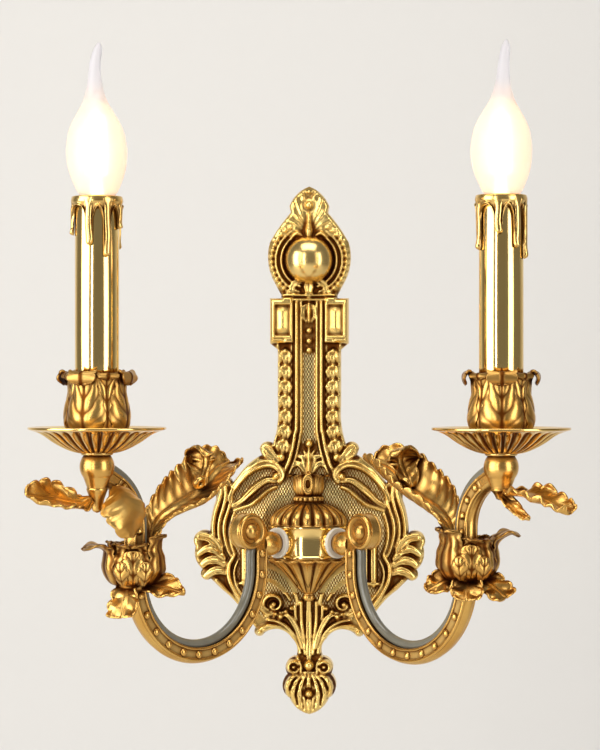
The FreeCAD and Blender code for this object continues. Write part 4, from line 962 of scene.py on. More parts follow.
def side_leaf(side):
    """The right one is a slender tip, about 30 mm in front of the solid that it stands for."""
    u, z, v = CANDLE_U - 8.0, NECK_Z, 5.2
    if side == "left":
        midrib = [(u + 1.0, v, z + 1.4), (u - 1.0, v + 5.0, z - 2.0), (u - 1.5, v + 10.0, z - 9.0),
                  (u - 2.0, v + 12.5, z - 18.0), (u - 2.0, v + 12.0, z - 27.0)]
        wide, across = [4.0, 12.0, 17.0, 13.0, 5.0], (0.93, 0.1, -0.30)
    else:
        midrib = [(u + 7.0, -1.0, z + 0.6), (u + 13.0, -3.6, z - 2.6), (u + 19.0, -4.6, z - 6.0),
                  (u + 25.0, -4.8, z - 10.0), (u + 30.0, -4.4, z - 13.6), (u + 34.5, -4.0, z - 15.0)]
        wide, across = [1.8, 3.4, 3.8, 3.2, 2.2, 0.7], (0.2, 0.62, 0.5)
    place = leaf_shape(midrib, wide, [w * 0.26 for w in wide], across, 5, depth=0.12, vein=0.14, ruffle=0.9,
                       crease=0.0, crumple=0.45)
    bm = bmesh.new()
    add_sheet(bm, 60, 44, place, ARM[side])
    return to_piece(bm, f"acanthus_side_{side}", f"side_leaf_{side}", SATIN_CAST)


for side in SIDES:
    for make, thick in ((tall_leaf, 1.4), (outer_leaf, 1.4), (side_leaf, 1.3)):
        piece = make(side)
        finish_sheet(piece, thick)
        print(piece.name, len(piece.data.polygons))

# %% [markdown]
# ## Flower cup and its skirt
# The cup is a tulip of five fluted petals with lips that flare, and five plainer ones that close the gaps
# behind them.  Under it hangs a skirt of short leaves.  A petal is the same kind of sheet, but its sides bend
# round the upright axis of the cup.

# %% Petals
def petal_shape(profile, middle_angle, half_angle, count=3, vein=0.5, ruffle=1.0, depth=0.2, tip=0.9,
                flutes=2.5, chevrons=0.0, calm=1.1, crumple=0.0):
    """place(s, t) for a petal: profile gives (radius, height) from foot to rim."""
    def place(s, t):
        out = np.abs(t)
        rz = spline(profile, s)
        ahead = spline(profile, np.clip(s + 0.02, 0, 1)) - spline(profile, np.clip(s - 0.02, 0, 1))
        ahead /= np.linalg.norm(ahead, axis=1, keepdims=True)
        wide = spline(half_angle, s) * lobes(s + 0.06 * out, count, depth)
        wide = wide * np.sqrt(np.clip(1 - np.clip((s - tip) / (1 - tip), 0, 1) ** 2, 0.03, 1))
        angle = middle_angle + t * wide
        fan = np.cos(2 * math.pi * flutes * t * (0.7 + 0.5 * s)) if not chevrons else \
            2 * np.abs(np.cos(math.pi * chevrons * (s - (0.10 + 0.34 * s) * out ** 1.3))) ** 0.7 - 1
        fan = fan * np.clip(s * 4, 0, 1) * (np.clip(out * 6, 0, 1) if chevrons else 1)
        fan = fan * np.clip((calm - s) / 0.15, 0, 1) * (1 - 0.6 * out ** 2)
        crease = np.exp(-(t / 0.12) ** 2)
        push = vein * (0.6 * fan - 0.6 * crease) + ruffle * np.cos(2 * math.pi * (count * s + 0.3)) * out ** 2
        push = (push - 0.9 * out ** 3 + crumple * np.clip((s - 0.5) * 2.5, 0, 1)
                * (np.sin(9 * t + 17 * s) + 0.7 * np.sin(15 * t - 9 * s)))
        r = rz[:, 0] + push * ahead[:, 1]
        z = rz[:, 1] - push * ahead[:, 0]
        # The second value is painted shade: darker down the middle crease and where the flutes sink.
        return np.stack([r * np.cos(angle), r * np.sin(angle), z], 1), 0.45 - 0.5 * fan + 0.5 * crease
    return place


ARM_AT = {"left": -133.0, "right": -47.0}


def in_arm(side, azimuth):
    """The angle in the arm's frame of a world azimuth in degrees."""
    return math.radians(azimuth - ARM_AT[side])


CUP_SQUASH = 0.86     # how much lower the cups are than their profile is drawn
CUP_LIFT = {"left": -2.3, "right": 1.7}     # the two cups sit a little differently on their arms


def at_cup(side):
    return ARM[side] @ Matrix.Translation((CUP_U, 0, CUP_LIFT[side])) @ Matrix.Scale(CUP_SQUASH, 4, (0, 0, 1))


def flower(side):
    at = at_cup(side)
    flare = {"left": -160.0, "right": 8.0}[side]
    up = {"left": 0.0, "right": 4.5}[side]
    bm = bmesh.new()
    inner = [(7.5, -19.6), (12.6, -17.0), (16.2, -9.0), (15.8, -1.0), (14.0, 5.0), (15.0, 9.0)]
    foot = [(8.0, -20.0), (13.8, -17.2), (17.8, -10.0), (17.6, -2.0)]
    flared = [(8.0, -20.0), (13.8, -17.2), (17.6, -10.0), (17.6, -2.0), (16.8, 3.4), (20.6, 6.4 + up * 0.6),
              (26.6, 7.0 + up), (29.4, 4.6 + up)]
    lips = {0: flared, 1: foot + [(16.0, 4.0), (17.6, 7.6), (20.6, 7.0)],
            2: foot + [(15.8, 5.4), (16.8, 12.0), (19.6, 13.6)]}
    for i in range(5):
        turn = in_arm(side, flare) + 2 * math.pi * i / 5
        add_sheet(bm, 36, 28,
                  petal_shape(inner, turn + 0.628, [0.50, 0.62, 0.66, 0.60, 0.50, 0.34], 3, ruffle=0.5), at)
        add_sheet(bm, 52, 38,
                  petal_shape(lips[min(i, 5 - i)], turn, [0.50, 0.62, 0.68, 0.66, 0.62, 0.54, 0.36], 5,
                              vein=0.45, ruffle=0.6, depth=0.14, flutes=2.0, calm=0.86, crumple=0.3), at)
    spray = [(9.0, -20.0), (14.6, -17.0), (18.6, -11.0), (19.2, -4.0), (17.8, 1.6), (18.2, 4.6)]
    for azimuth in (-84.0, 96.0):
        add_sheet(bm, 56, 38,
                  petal_shape(spray, in_arm(side, azimuth), [0.20, 0.34, 0.42, 0.42, 0.34, 0.14], 4,
                              vein=0.34, ruffle=0.35, depth=0.3, flutes=0.0, chevrons=4.0, crumple=0.0), at)
        for k in (-1, 1):
            side_spray = [(16.0, -18.6), (18.9, -14.0), (19.9, -9.5), (20.2, -5.6), (19.6, -3.0)]
            add_sheet(bm, 40, 24,
                      petal_shape(side_spray, in_arm(side, azimuth) + 0.36 * k,
                                  [0.10, 0.20, 0.25, 0.20, 0.08], 3, vein=0.3, ruffle=0.35, depth=0.25,
                                  flutes=0.0, chevrons=3.0, crumple=0.0), at)
    return to_piece(bm, f"tulip_cup_{side}", f"flower_cup_{side}", CAST)


SKIRT = {"right": ((-92, 21, 13, 0.0, 7.0), (-30, 25, 12, 0.6, 7.0), (-158, 25, 8.0, -0.7, 3.0),
                   (110, 20, 8, 0.0, 5.0), (42, 20, 8, 0.0, 5.0)),
         "left": ((-27, 35, 5.0, 0.85, 0.8), (-104, 18, 21, 0.2, 8.5), (100, 18, 8, 0.0, 5.0),
                  (38, 18, 8, 0.0, 5.0))}


def skirt(side):
    """Each leaf: world azimuth, reach, droop, how far its near edge is turned down, and how wide it ends."""
    at = at_cup(side)
    bm = bmesh.new()
    for azimuth, reach, droop, tilt, end in SKIRT[side]:
        a = in_arm(side, azimuth)
        route = [(6.0, 0.0), (reach * 0.40, -0.10), (reach * 0.62, -0.34), (reach * 0.82, -0.70),
                 (reach, -1.0)]
        midrib = [(r * math.cos(a), r * math.sin(a), -18.6 + droop * fall) for r, fall in route]
        add_sheet(bm, 42, 28,
                  leaf_shape(midrib, [5.0, 8.8, 9.6, 4.0 + 0.8 * end, end], [1.2, 2.4, 2.8, 2.2, 1.0],
                             (-math.sin(a), math.cos(a), 0), 4, depth=0.2, vein=0.24, ruffle=1.1, lean=0.08,
                             fine=1, tilt=tilt, crumple=0.9), at)
    join(bm, spun([(5.4, -17.0), (8.4, -17.6), (9.6, -19.2), (8.6, -21.0), (6.2, -21.8), (5.4, -20.6),
                   (5.4, -17.0)], 48, None, at))
    return to_piece(bm, f"leaf_skirt_{side}", f"calyx_collar_{side}", CAST)


for side in SIDES:
    for make in (flower, skirt):
        piece = make(side)
        finish_sheet(piece, 1.3, levels=0 if make is flower else 1)
        print(piece.name, len(piece.data.polygons))

# %% Drip pans
PAN_Z, RIM_Z = 56.78, 72.58


def pan(side):
    z, top = PAN_Z, RIM_Z
    profile = [(4.6, z - 0.4), (8.2, z - 0.4), (9.2, z + 0.2), (9.4, z + 1.0), (10.4, z + 0.9),
               (14.0, z + 1.7), (18.0, z + 3.2), (22.0, z + 5.2), (26.0, z + 7.6), (29.6, z + 10.2),
               (32.6, z + 12.0), (36.0, z + 13.3), (39.2, z + 14.3), (39.5, z + 15.2), (38.8, top),
               (36.0, top - 0.5), (32.0, top - 1.8), (28.0, top - 4.4), (22.0, top - 7.0), (15.4, top - 7.8),
               (4.6, top - 7.8)]

    def chase(angle, r, height):
        under = height < z + np.interp(r, (9, 15, 20, 26, 30, 34, 39.4), (3, 5.4, 7, 9.6, 12.6, 14.4, 15.0))
        band = np.clip((r - 9.4) / 3, 0, 1) * np.clip((37.5 - r) / 5, 0, 1)
        cut = np.abs(np.cos(15 * angle)) ** 0.75
        deep = np.where(under, 1.9 * band * (1 - cut), 0)
        # The third value is painted shade in the flutes chased under the pan.
        return r - 0.5 * deep, height + deep, np.where(under, band * (1 - cut) * 1.3, 0.0)
    return to_piece(spun(profile, 300, chase, at_candle(side)), f"pan_{side}", f"drip_pan_{side}",
                    POLISHED_CHASED)


POLISHED_CHASED = cast_brass("chased brass", reach=0.004, low=0.12, high=0.34, grain=1500.0)
for side in SIDES:
    print(pan(side).name)

# %% Candle cups
def cup(side):
    z, r = 67.38, 15.2
    body = [(4.8, z), (12.0, z), (r - 0.6, z + 0.8), (r + 1.4, z + 6.4), (r + 1.8, z + 10.5),
            (r + 0.4, z + 18.5), (r - 0.6, z + 24.5), (r - 0.2, z + 30.0), (r - 0.6, z + 33.6),
            (r - 1.6, z + 32.6), (r - 1.9, z + 22.0), (r - 2.0, z + 2.6), (4.8, z + 2.4)]
    # The whole bowl, inside its leaves, gets an even painted shade of 0.35.
    turned = spun(body, 160, lambda angle, radius, height: (radius, height, np.full(radius.shape, 0.35)),
                  at_candle(side))
    bowl = to_piece(turned, f"candle_bowl_{side}", f"candle_cup_{side}", CAST)
    bm = bmesh.new()
    behind = [(r + 1.0, z + 2.0), (r + 2.0, z + 8.0), (r + 1.8, z + 15.0), (r + 0.5, z + 22.0),
              (r + 0.3, z + 29.0), (r + 1.6, z + 34.0), (r + 2.8, z + 35.2), (r + 3.4, z + 34.0),
              (r + 2.6, z + 32.8)]
    leaf = [(r + 0.6, z + 0.8), (r + 2.9, z + 6.6), (r + 3.4, z + 12.5), (r + 2.1, z + 19.5),
            (r + 1.0, z + 26.0), (r + 1.5, z + 31.2), (r + 2.8, z + 34.8), (r + 4.6, z + 36.0),
            (r + 6.0, z + 34.6), (r + 5.9, z + 32.0), (r + 4.8, z + 29.8)]
    for i in range(4):
        turn = in_arm(side, {"left": -108, "right": -90}[side] + 90 * i)
        add_sheet(bm, 60, 40,
                  petal_shape(behind, turn + math.pi / 4,
                              [0.30, 0.46, 0.54, 0.52, 0.48, 0.46, 0.42, 0.34, 0.2], 6, vein=0.55, ruffle=0.3,
                              depth=0.1, flutes=0.0, chevrons=7.5, calm=0.74), at_candle(side))
        add_sheet(bm, 84, 56,
                  petal_shape(leaf, turn, [0.52, 0.70, 0.74, 0.68, 0.54, 0.46, 0.44, 0.44, 0.42, 0.38, 0.30],
                              6, vein=0.55, ruffle=0.4, depth=0.14, flutes=0.0, chevrons=7.5, calm=0.6,
                              tip=0.94), at_candle(side))
    leaves = to_piece(bm, f"cup_leaves_{side}", f"candle_cup_{side}", CAST)
    finish_sheet(leaves, 1.5, levels=0)
    return bowl, leaves


for side in SIDES:
    for piece in cup(side):
        print(piece.name, len(piece.data.polygons))

# %% Sleeves and drip rings
SLEEVE_Z, RING_TOP, SLEEVE_R = 69.23, 204.03, 12.65


def sleeve(side):
    r, low, high = SLEEVE_R, SLEEVE_Z, SLEEVE_Z + 133.0
    profile = [(r - 0.9, low), (r - 0.2, low), (r, low + 0.3), (r, low + 66), (r, high - 0.3),
               (r - 0.2, high), (r - 0.9, high), (r - 0.9, low + 66), (r - 0.9, low)]
    bm = spun(profile, 128, None, at_candle(side), smooth=1)
    tidy(bm)
    return to_piece(bm, f"sleeve_{side}", f"candle_sleeve_{side}", POLISHED)


DRIPS = {"left": ((-170, 22.0), (-103, 28.0), (-57, 34.5), (-12, 18.5), (38, 30.0), (88, 21.0), (140, 33.0)),
         "right": ((-157, 31.0), (-98, 22.0), (-50, 30.0), (-12, 36.0), (35, 21.0), (85, 33.0),
                   (140, 24.0))}   # azimuth, length


def drips(side):
    """A band that flows into rounded drips, as one sheet without a back; between them the edge arches up."""
    r = SLEEVE_R

    def place(s, t):
        angle = math.pi * t
        reach, round_top = np.full(angle.shape, 5.4), np.zeros(angle.shape)
        for azimuth, length in DRIPS[side]:
            away = (angle - in_arm(side, azimuth) + math.pi) % (2 * math.pi) - math.pi
            off = np.abs(away * r + 0.5 * np.sin(8.0 * s + azimuth) * s)
            run = np.sqrt(np.clip(1 - (off / 1.9) ** 2, 0, 1))
            reach = np.maximum(reach, np.where(off < 1.9, length - 1.8 + 1.8 * run,
                                               5.4 + 8.0 * np.exp(-(off - 1.9) / 1.25)))
            round_top = np.maximum(round_top, run)
        down = reach * s
        share = np.clip((down - 3.0) / 4.0, 0, 1)
        band = 1.7 + 0.5 * np.sin(math.pi * np.clip(down / 4.5, 0, 1))
        swell = 0.7 * np.clip((s - 0.8) / 0.14, 0, 1) * (reach > 14)
        edge = 1.5 * np.exp(-((reach - down - 0.9) / 0.8) ** 2) * (reach < 16)
        thick = (1 - share) * band + share * (0.5 + (1.8 + swell) * round_top ** 0.8) + edge * (1 - round_top)
        thick = thick * np.sqrt(np.clip(1 - np.clip((s - 0.93) / 0.07, 0, 1) ** 2, 0.03, 1))
        rr = r + 0.1 + thick
        # The second value is painted shade on the band between the drips.
        return (np.stack([rr * np.cos(angle), rr * np.sin(angle), RING_TOP - 0.4 - down], 1),
                0.35 * share * (1 - round_top))
    bm = bmesh.new()
    add_sheet(bm, 56, 288, place, at_candle(side))
    rim = spun([(10.8, RING_TOP - 1.8), (SLEEVE_R + 0.4, RING_TOP - 1.8), (SLEEVE_R + 1.9, RING_TOP - 0.9),
                (SLEEVE_R + 1.2, RING_TOP), (11.4, RING_TOP), (10.8, RING_TOP - 0.6), (10.8, RING_TOP - 1.8)],
               96, None, at_candle(side))
    join(bm, rim)
    return to_piece(bm, f"wax_drips_{side}", f"drip_ring_{side}", CAST_SMOOTH)


CAST_SMOOTH = cast_brass("smooth casting", reach=0.003, low=0.2, high=0.34, grain=400.0, rough=0.15)
for side in SIDES:
    print(sleeve(side).name, drips(side).name)

# %% [markdown]
# ## Bulb glasses
# The flame bulb is blown: a thin frosted wall, round below, drawn out above into a solid tail that cools with
# a slight hook.  The wall is spun as one closed outline, outside and inside, and its upper part is then
# pushed sideways by the hook's own curve.  The glowing rods inside are the engineering model's.

# %% Bulb glasses
FLAME = [(9.6, 0.4), (11.4, 2.5), (14.4, 9.2), (16.5, 16.0), (17.4, 23.0), (17.3, 28.5), (15.9, 36.6),
         (13.6, 42.3), (10.4, 48.0), (7.3, 53.6), (5.3, 59.3), (4.2, 65.0), (3.6, 70.7), (3.2, 76.4),
         (2.9, 81.0), (2.6, 83.4), (1.9, 85.6), (0, 86.3)]
HOOK = {"left": ((0, 23, 48, 59, 70, 77, 82, 88), (0, 0, -0.8, -1.3, -1.6, -1.2, -0.2, 1.9)),
        "right": ((0, 23, 48, 59, 70, 77, 82, 88), (0, 0, 0.3, 0.8, 1.2, 1.6, 2.2, 3.8))}


def bulb(side):
    inner = [(max(r - 0.8, 0), h) for r, h in FLAME if h < 56] + [(0, 61.0)]
    outline = ([(r, RING_TOP + h) for r, h in FLAME] + [(r, RING_TOP + h) for r, h in reversed(inner)]
               + [(9.6, RING_TOP + 0.4)])
    bm = spun(outline, 72, None, None, smooth=4)
    at, shift = HOOK[side]
    for v in bm.verts:
        aside = float(np.interp(v.co.z - RING_TOP, at, blurred(np.array([shift, shift], float), 1)[0]))
        v.co += Vector((aside, 0, 0))
    spot = ARM[side] @ Vector((CANDLE_U, 0, 0))
    bm.transform(Matrix.Translation(spot) @ Matrix.Scale(MM, 4))
    return to_piece(bm, f"flame_glass_{side}", f"bulb_glass_{side}", GLASS)


for side in SIDES:
    print(bulb(side).name)

# %% [markdown]
# ## Hub, urn and pendant
# Both arms grow from a short polished drum.  Above it stands a gadrooned dome with a beaded collar and a
# tulip of leaves, below it hangs a ribbed drop.  All three are turned and sawn off flat where they meet the
# plate.  The leaves laid on dome and drop are single sheets without a thickness.

# %% Turned pieces on the plate
AT_HUB = Matrix.Translation(HUB) @ Matrix.Scale(MM, 4)


def drum():
    profile = [(0, -10), (23.4, -10), (24, -9.5), (24, -8.7), (23.4, -8.2), (23.2, -7.8), (23.2, 7.8),
               (23.4, 8.2), (24, 8.7), (24, 9.5), (23.4, 10), (0, 10)]
    bm = spun(profile, 256, None, AT_HUB, smooth=1)
    for side in SIDES:
        pad = [(0, 20), (8, 20), (8, 25.3), (7.7, 25.6), (0, 25.6)]
        join(bm, spun(pad, 96, None, ARM[side] @ Matrix.Rotation(math.pi / 2, 4, "Y"), smooth=1))
    piece = to_piece(sawn(bm), "polished_drum", "hub_drum", POLISHED, smooth=False)
    bevel = piece.modifiers.new("edges", "BEVEL")
    bevel.width, bevel.segments = 0.25 * MM, 2
    bevel.limit_method, bevel.angle_limit = "ANGLE", math.radians(50)
    return piece


def urn():
    profile = [(0, 9.8), (22.2, 9.8), (24.0, 10.6), (24.3, 12.6), (23.6, 15.0), (21.8, 17.4), (18.9, 19.7),
               (15.2, 21.6), (11.6, 22.9), (8.8, 23.5), (8.6, 24.0), (9.6, 24.8), (9.9, 26.0), (9.2, 27.4),
               (7.2, 28.2), (6.3, 29.0), (6.6, 30.6), (7.6, 34.0), (8.1, 38.0), (7.4, 40.6), (4.0, 41.0),
               (0, 41.0)]

    def chase(angle, r, height):
        lobe = np.abs(np.cos(10 * (angle + math.pi / 2))) ** 0.5
        dome = (np.clip((24.2 - height) / 1.0, 0, 1) * np.clip((r - 8) / 3, 0, 1)
                * np.clip((height - 9.9) / 1.2, 0, 1))
        beads = np.clip(1 - np.abs(height - 25.9) / 2.3, 0, 1)
        bead = np.abs(np.cos(9 * angle)) ** 0.7
        lift = dome * (lobe - 1) * (1.0 + 0.08 * r) - beads * (1 - bead) * 1.3
        # The third value is painted shade between the gadroons and between the collar's beads.
        return r + lift, height, dome * (1 - lobe) * 1.6 + beads * (1 - bead)
    bm = spun(profile, 360, chase, AT_HUB)
    petal = [(6.8, 27.4), (8.6, 30.0), (9.6, 33.6), (9.6, 36.8), (10.2, 39.4), (12.0, 40.9), (12.8, 39.6)]
    for azimuth, out in ((-90 - 62, 0.4), (-90 + 62, 0.4), (-90 - 34, 0.0), (-90 + 34, 0.0)):
        add_sheet(bm, 34, 24,
                  petal_shape([(r + out, h) for r, h in petal], math.radians(azimuth),
                              [0.34, 0.44, 0.50, 0.50, 0.44, 0.36, 0.2], 1, vein=0.12, ruffle=0.1, depth=0.03,
                              flutes=0.5), AT_HUB)
    middle = [(7.4, 27.4), (9.2, 30.0), (10.4, 34.0), (10.6, 38.0), (10.0, 41.6), (8.6, 43.4)]
    add_sheet(bm, 34, 24, petal_shape(middle, math.radians(-90), [0.22, 0.36, 0.43, 0.42, 0.38, 0.24], 1,
                                      vein=0.0, ruffle=0.1, depth=0.02), AT_HUB)
    front = AT_HUB @ Matrix.Translation((0, -12.2, 35.4))
    for height, wire in ((1.9, 0.7), (1.25, 0.5)):
        ring = Matrix.Diagonal((height / 1.9, 1, height, 1)) @ Matrix.Rotation(math.pi / 2, 4, "X")
        join(bm, ring_mesh(2.7, wire, front @ Matrix.Translation((0, 0.2, 0)) @ ring))
    return to_piece(sawn(bm), "gadrooned_urn", "urn", CAST)


def pendant():
    profile = [(0, -9.6), (22.6, -9.6), (23.6, -10.4), (23.2, -11.8), (20.2, -13.6), (16.6, -16.8),
               (13.2, -20.6), (9.6, -25.0), (6.4, -29.2), (4.4, -31.6), (3.4, -32.6), (4.0, -34.0),
               (4.0, -35.4), (2.8, -36.9), (0, -37.5)]

    def chase(angle, r, height):
        share = np.clip((-10.6 - height) / 2, 0, 1) * np.clip((height + 32.8) / 3, 0, 1)
        rib = np.abs(np.cos(7 * (angle + math.pi / 2))) ** 0.8
        fine = 0.5 + 0.5 * np.cos(42 * (angle + math.pi / 2))
        curl = np.clip(1 - np.abs(height + 11.4) / 1.5, 0, 1) * rib
        swell = share * (rib * 0.13 * r - 0.06 * r + 0.22 * fine)
        # The third value is painted shade between the ribs.
        return r + swell + curl * 1.1, height, share * (1.15 - rib - 0.3 * fine)
    bm = spun(profile, 336, chase, AT_HUB @ Matrix.Translation((0, -0.5, 0)))
    tongue = [(21.8, -11.6), (17.8, -14.8), (14.2, -19.2), (10.8, -23.6), (7.8, -27.6)]
    for azimuth in (-90, -90 - 51.4, -90 + 51.4):
        add_sheet(bm, 40, 20, petal_shape(tongue, math.radians(azimuth), [0.12, 0.19, 0.20, 0.16, 0.06], 1,
                                          vein=0.6, ruffle=0.2, depth=0.05, flutes=0.5), AT_HUB)
    return to_piece(sawn(bm), "ribbed_pendant", "pendant", CAST)


for make in (drum, urn, pendant):
    piece = make()
    print(piece.name, len(piece.data.polygons))

# %% [markdown]
# ## Dressing the bars
# The bar is cast with a sunk panel down each flank, a thin rim on both sides of it and a row of beads.  The
# bar itself is carried over from the engineering model; its rims, panel ground and beads are laid on along
# the same route, which is a straight root, a half circle, a short riser and a sixth of a circle.

# %% The bar's route
def bar_route():
    """Points (u, z) down the bar's centre line with their distance along it."""
    bowl, crook = np.linspace(math.pi, 2 * math.pi, 240), np.linspace(math.pi, math.radians(121), 70)
    u = np.concatenate([[42.55, 42.55], 91.95 + 49.4 * np.cos(bowl), 171.35 + 30.0 * np.cos(crook)])
    z = np.concatenate([[-2.0, -13.8], -14.0 + 49.4 * np.sin(bowl), 14.0 + 30.0 * np.sin(crook)])
    far = np.concatenate([[0], np.cumsum(np.hypot(np.diff(u), np.diff(z)))])
    return u, z, far


ROUTE_U, ROUTE_Z, ROUTE_FAR = bar_route()
BAR_LENGTH = float(ROUTE_FAR[-1])


def by_bar(far, v, towards):
    """Arm-frame points at a distance along the bar, v to its side, towards its cable."""
    u, z = np.interp(far, ROUTE_FAR, ROUTE_U), np.interp(far, ROUTE_FAR, ROUTE_Z)
    du = np.interp(far + 0.5, ROUTE_FAR, ROUTE_U) - np.interp(far - 0.5, ROUTE_FAR, ROUTE_U)
    dz = np.interp(far + 0.5, ROUTE_FAR, ROUTE_Z) - np.interp(far - 0.5, ROUTE_FAR, ROUTE_Z)
    long = np.hypot(du, dz)
    return np.stack([u - dz / long * towards, v + 0 * u, z + du / long * towards], -1)


print("bar length:", round(BAR_LENGTH, 1), "mm")

# %% Rims, panels and beads
def rim_line(bm, side, v, towards, wire):
    def place(s, t):
        ends = np.sqrt(np.clip(np.minimum(s, 1 - s) / 0.004, 0, 1))
        a = math.pi * t
        return by_bar(s * BAR_LENGTH, v + wire * ends * np.cos(a),
                      towards + wire * ends * np.sin(a)), np.zeros(s.shape)
    add_sheet(bm, 300, 10, place, ARM[side])


def flank(bm, side, v):
    def place(s, t):
        # The second value is painted shade over the sunk panel, darker towards its edges by the rims.
        return (by_bar(s * BAR_LENGTH, v * (1 + 0.02 * np.abs(t) ** 4), 0.75 + 2.9 * t),
                0.28 + 0.5 * np.abs(t) ** 2)
    add_sheet(bm, 300, 6, place, ARM[side])


def bead_places():
    low = np.arange(3.4, 160.0, 12.7)
    high = np.arange(193.0, BAR_LENGTH - 2.0, 9.6)
    return [float(f) for f in (*low, *high)]


def bead_mesh():
    bm = bmesh.new()
    bmesh.ops.create_uvsphere(bm, u_segments=20, v_segments=12, radius=2.45,
                              matrix=Matrix.Scale(0.8, 4, (0, 1, 0)))
    mesh = bpy.data.meshes.new("bead")
    bm.to_mesh(mesh)
    bm.free()
    return mesh


BEAD = bead_mesh()


def dress_bar(side):
    bm = bmesh.new()
    for v in (-1, 1):
        for towards, wire in ((4.05, 0.85), (-2.45, 1.0)):
            rim_line(bm, side, 4.1 * v, towards, wire)
        for far in bead_places():
            spot = by_bar(np.array([far]), 4.1 * v, 0.75)[0]
            BEAD.transform(ARM[side] @ Matrix.Translation(spot))
            bm.from_mesh(BEAD)
            BEAD.transform((ARM[side] @ Matrix.Translation(spot)).inverted())
        eye = [(0.0, 2.7), (1.8, 2.4), (3.5, 1.4), (4.6, 0.0), (5.2, -1.0), (6.3, -1.1), (7.2, -0.4),
               (8.1, 0.5), (9.2, 0.8), (10.2, 0.3), (10.85, -0.8), (10.9, -2.2), (8.0, -2.6), (0.0, -2.6)]
        turn = Matrix.Rotation(-v * math.pi / 2, 4, "X")
        # Its painted shade lies in the ring groove of the eye.
        join(bm, spun(eye, 96, lambda a, r, h: (r, h, 0.8 * np.clip(1 - np.abs(r - 5.9) / 1.2, 0, 1)),
                      ARM[side] @ Matrix.Translation((52.05, 5.0 * v, 8.2)) @ turn))
    tidy(bm, 1e-6)
    rims = to_piece(bm, f"bar_rims_{side}", None, CAST, body=f"arm_{side}")
    bm = bmesh.new()
    for v in (-4.12, 4.12):
        flank(bm, side, v)
    ground = to_piece(bm, f"bar_ground_{side}", None, GROUND, body=f"arm_{side}")
    finish_sheet(ground, 0.25, 0)
    return rims, ground


GROUND = cast_brass("sunk ground", reach=0.003, low=0.34, high=0.5, grain=700.0)
for side in SIDES:
    for piece in dress_bar(side):
        print(piece.name, len(piece.data.polygons))

# %% [markdown]
# ## Studio
# The camera stands level with the middle of the sconce, 1.6 m away and three degrees to the right, through
# a long lens.  A pale floor sweeps up behind.  Polished metal shows only what stands round it, so the big
# soft lamps matter more than the light they give: each is a bright panel for the brass to mirror.

# %% Camera, floor and lamps
def studio():
    yaw, reach, sensor = math.radians(3.0), 1.6, 36.0
    lens = sensor * 2575 / 750      # the focal length is 2575 pixels of a picture 750 high
    data = bpy.data.cameras.new("camera")
    data.lens, data.sensor_width = lens, sensor
    camera = bpy.data.objects.new("camera", data)
    bpy.context.scene.collection.objects.link(camera)
    aside = -6.2 * MM
    camera.location = (reach * math.sin(yaw) + aside * math.cos(yaw),
                       -reach * math.cos(yaw) + aside * math.sin(yaw), 102.2 * MM)
    camera.rotation_euler = (math.radians(90), 0, yaw)
    bpy.context.scene.camera = camera


def panel(name, place, towards, size, power):
    data = bpy.data.lights.new(name, "AREA")
    data.shape, data.size, data.size_y, data.energy = "RECTANGLE", size[0], size[1], power
    lamp = bpy.data.objects.new(name, data)
    lamp.location = place
    lamp.rotation_euler = (Vector(towards) - Vector(place)).to_track_quat("-Z", "Y").to_euler()
    bpy.context.scene.collection.objects.link(lamp)


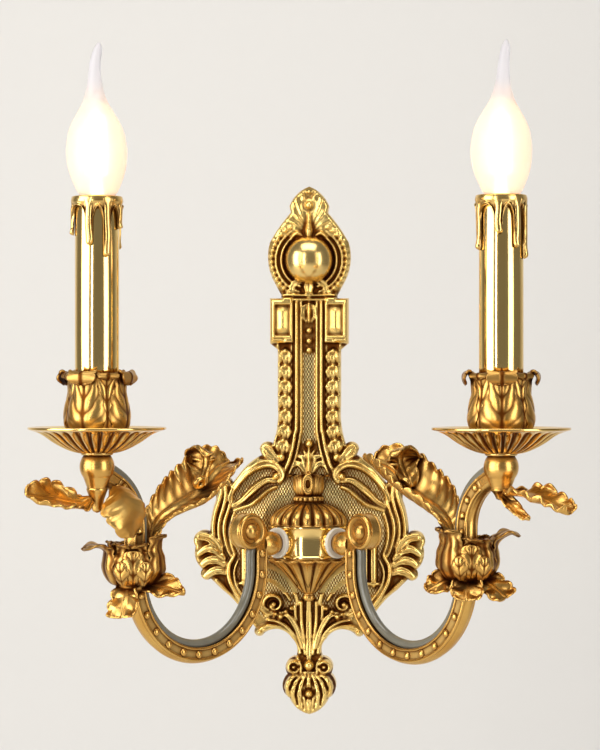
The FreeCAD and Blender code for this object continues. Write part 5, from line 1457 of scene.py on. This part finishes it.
def studio_paper():
    """Pale paper whose back lets the camera look through, for the views from behind."""
    paper = plain("studio paper", rgb(218, 215, 210), 0.9, 0.0, 0.01)
    nodes, links = paper.node_tree.nodes, paper.node_tree.links
    path, side_seen = nodes.new("ShaderNodeLightPath"), nodes.new("ShaderNodeNewGeometry")
    both = nodes.new("ShaderNodeMath")
    both.operation = "MULTIPLY"
    links.new(path.outputs["Is Camera Ray"], both.inputs[0])
    links.new(side_seen.outputs["Backfacing"], both.inputs[1])
    mix, clear = nodes.new("ShaderNodeMixShader"), nodes.new("ShaderNodeBsdfTransparent")
    links.new(both.outputs[0], mix.inputs[0])
    links.new(nodes["Principled BSDF"].outputs[0], mix.inputs[1])
    links.new(clear.outputs[0], mix.inputs[2])
    links.new(mix.outputs[0], nodes["Material Output"].inputs["Surface"])
    return paper


def studio_air():
    """Plain air for the lamps' sake, pale where the camera sees it past the paper."""
    world = bpy.data.worlds.new("studio air")
    world.use_nodes = True
    nodes, links = world.node_tree.nodes, world.node_tree.links
    nodes["Background"].inputs["Color"].default_value = (0.20, 0.195, 0.19, 1)
    seen, path = nodes.new("ShaderNodeBackground"), nodes.new("ShaderNodeLightPath")
    mix = nodes.new("ShaderNodeMixShader")
    seen.inputs["Color"].default_value = rgb(200, 198, 194)
    links.new(path.outputs["Is Camera Ray"], mix.inputs[0])
    links.new(nodes["Background"].outputs[0], mix.inputs[1])
    links.new(seen.outputs[0], mix.inputs[2])
    links.new(mix.outputs[0], nodes["World Output"].inputs["Surface"])
    bpy.context.scene.world = world


def sweep_floor():
    bm = bmesh.new()
    bmesh.ops.create_grid(bm, x_segments=1, y_segments=24, size=1.0)
    for v in bm.verts:
        along = (v.co.y + 1) / 2
        bend = max(0.0, min(1.0, (along - 0.55) / 0.15))
        angle = bend * math.pi / 2
        flat = min(along, 0.55) / 0.55 * 2.6 - 2.2
        rise = max(0.0, (along - 0.70) / 0.30) * 1.8
        v.co = Vector((v.co.x * 3.0, flat + 0.4 * math.sin(angle),
                       -0.42 + 0.4 * (1 - math.cos(angle)) + rise))
    mesh = bpy.data.meshes.new("floor")
    bm.to_mesh(mesh)
    bm.free()
    mesh.shade_smooth()
    floor = bpy.data.objects.new("floor", mesh)
    bpy.context.scene.collection.objects.link(floor)
    wear(floor, studio_paper())


studio()
sweep_floor()
panel("left wall", (-1.15, -0.80, 0.25), (0, -0.08, 0.08), (1.0, 1.5), 21.0)
panel("left strip", (-0.55, -1.40, 0.25), (0, -0.08, 0.08), (0.16, 1.4), 5.0)
panel("right wall", (1.10, -0.95, 0.20), (0, -0.08, 0.08), (0.6, 1.5), 10.5)
panel("top", (0.0, -0.55, 1.35), (0, -0.08, 0.1), (1.3, 0.8), 11.0)
studio_air()
bpy.context.scene.view_settings.view_transform = "Standard"
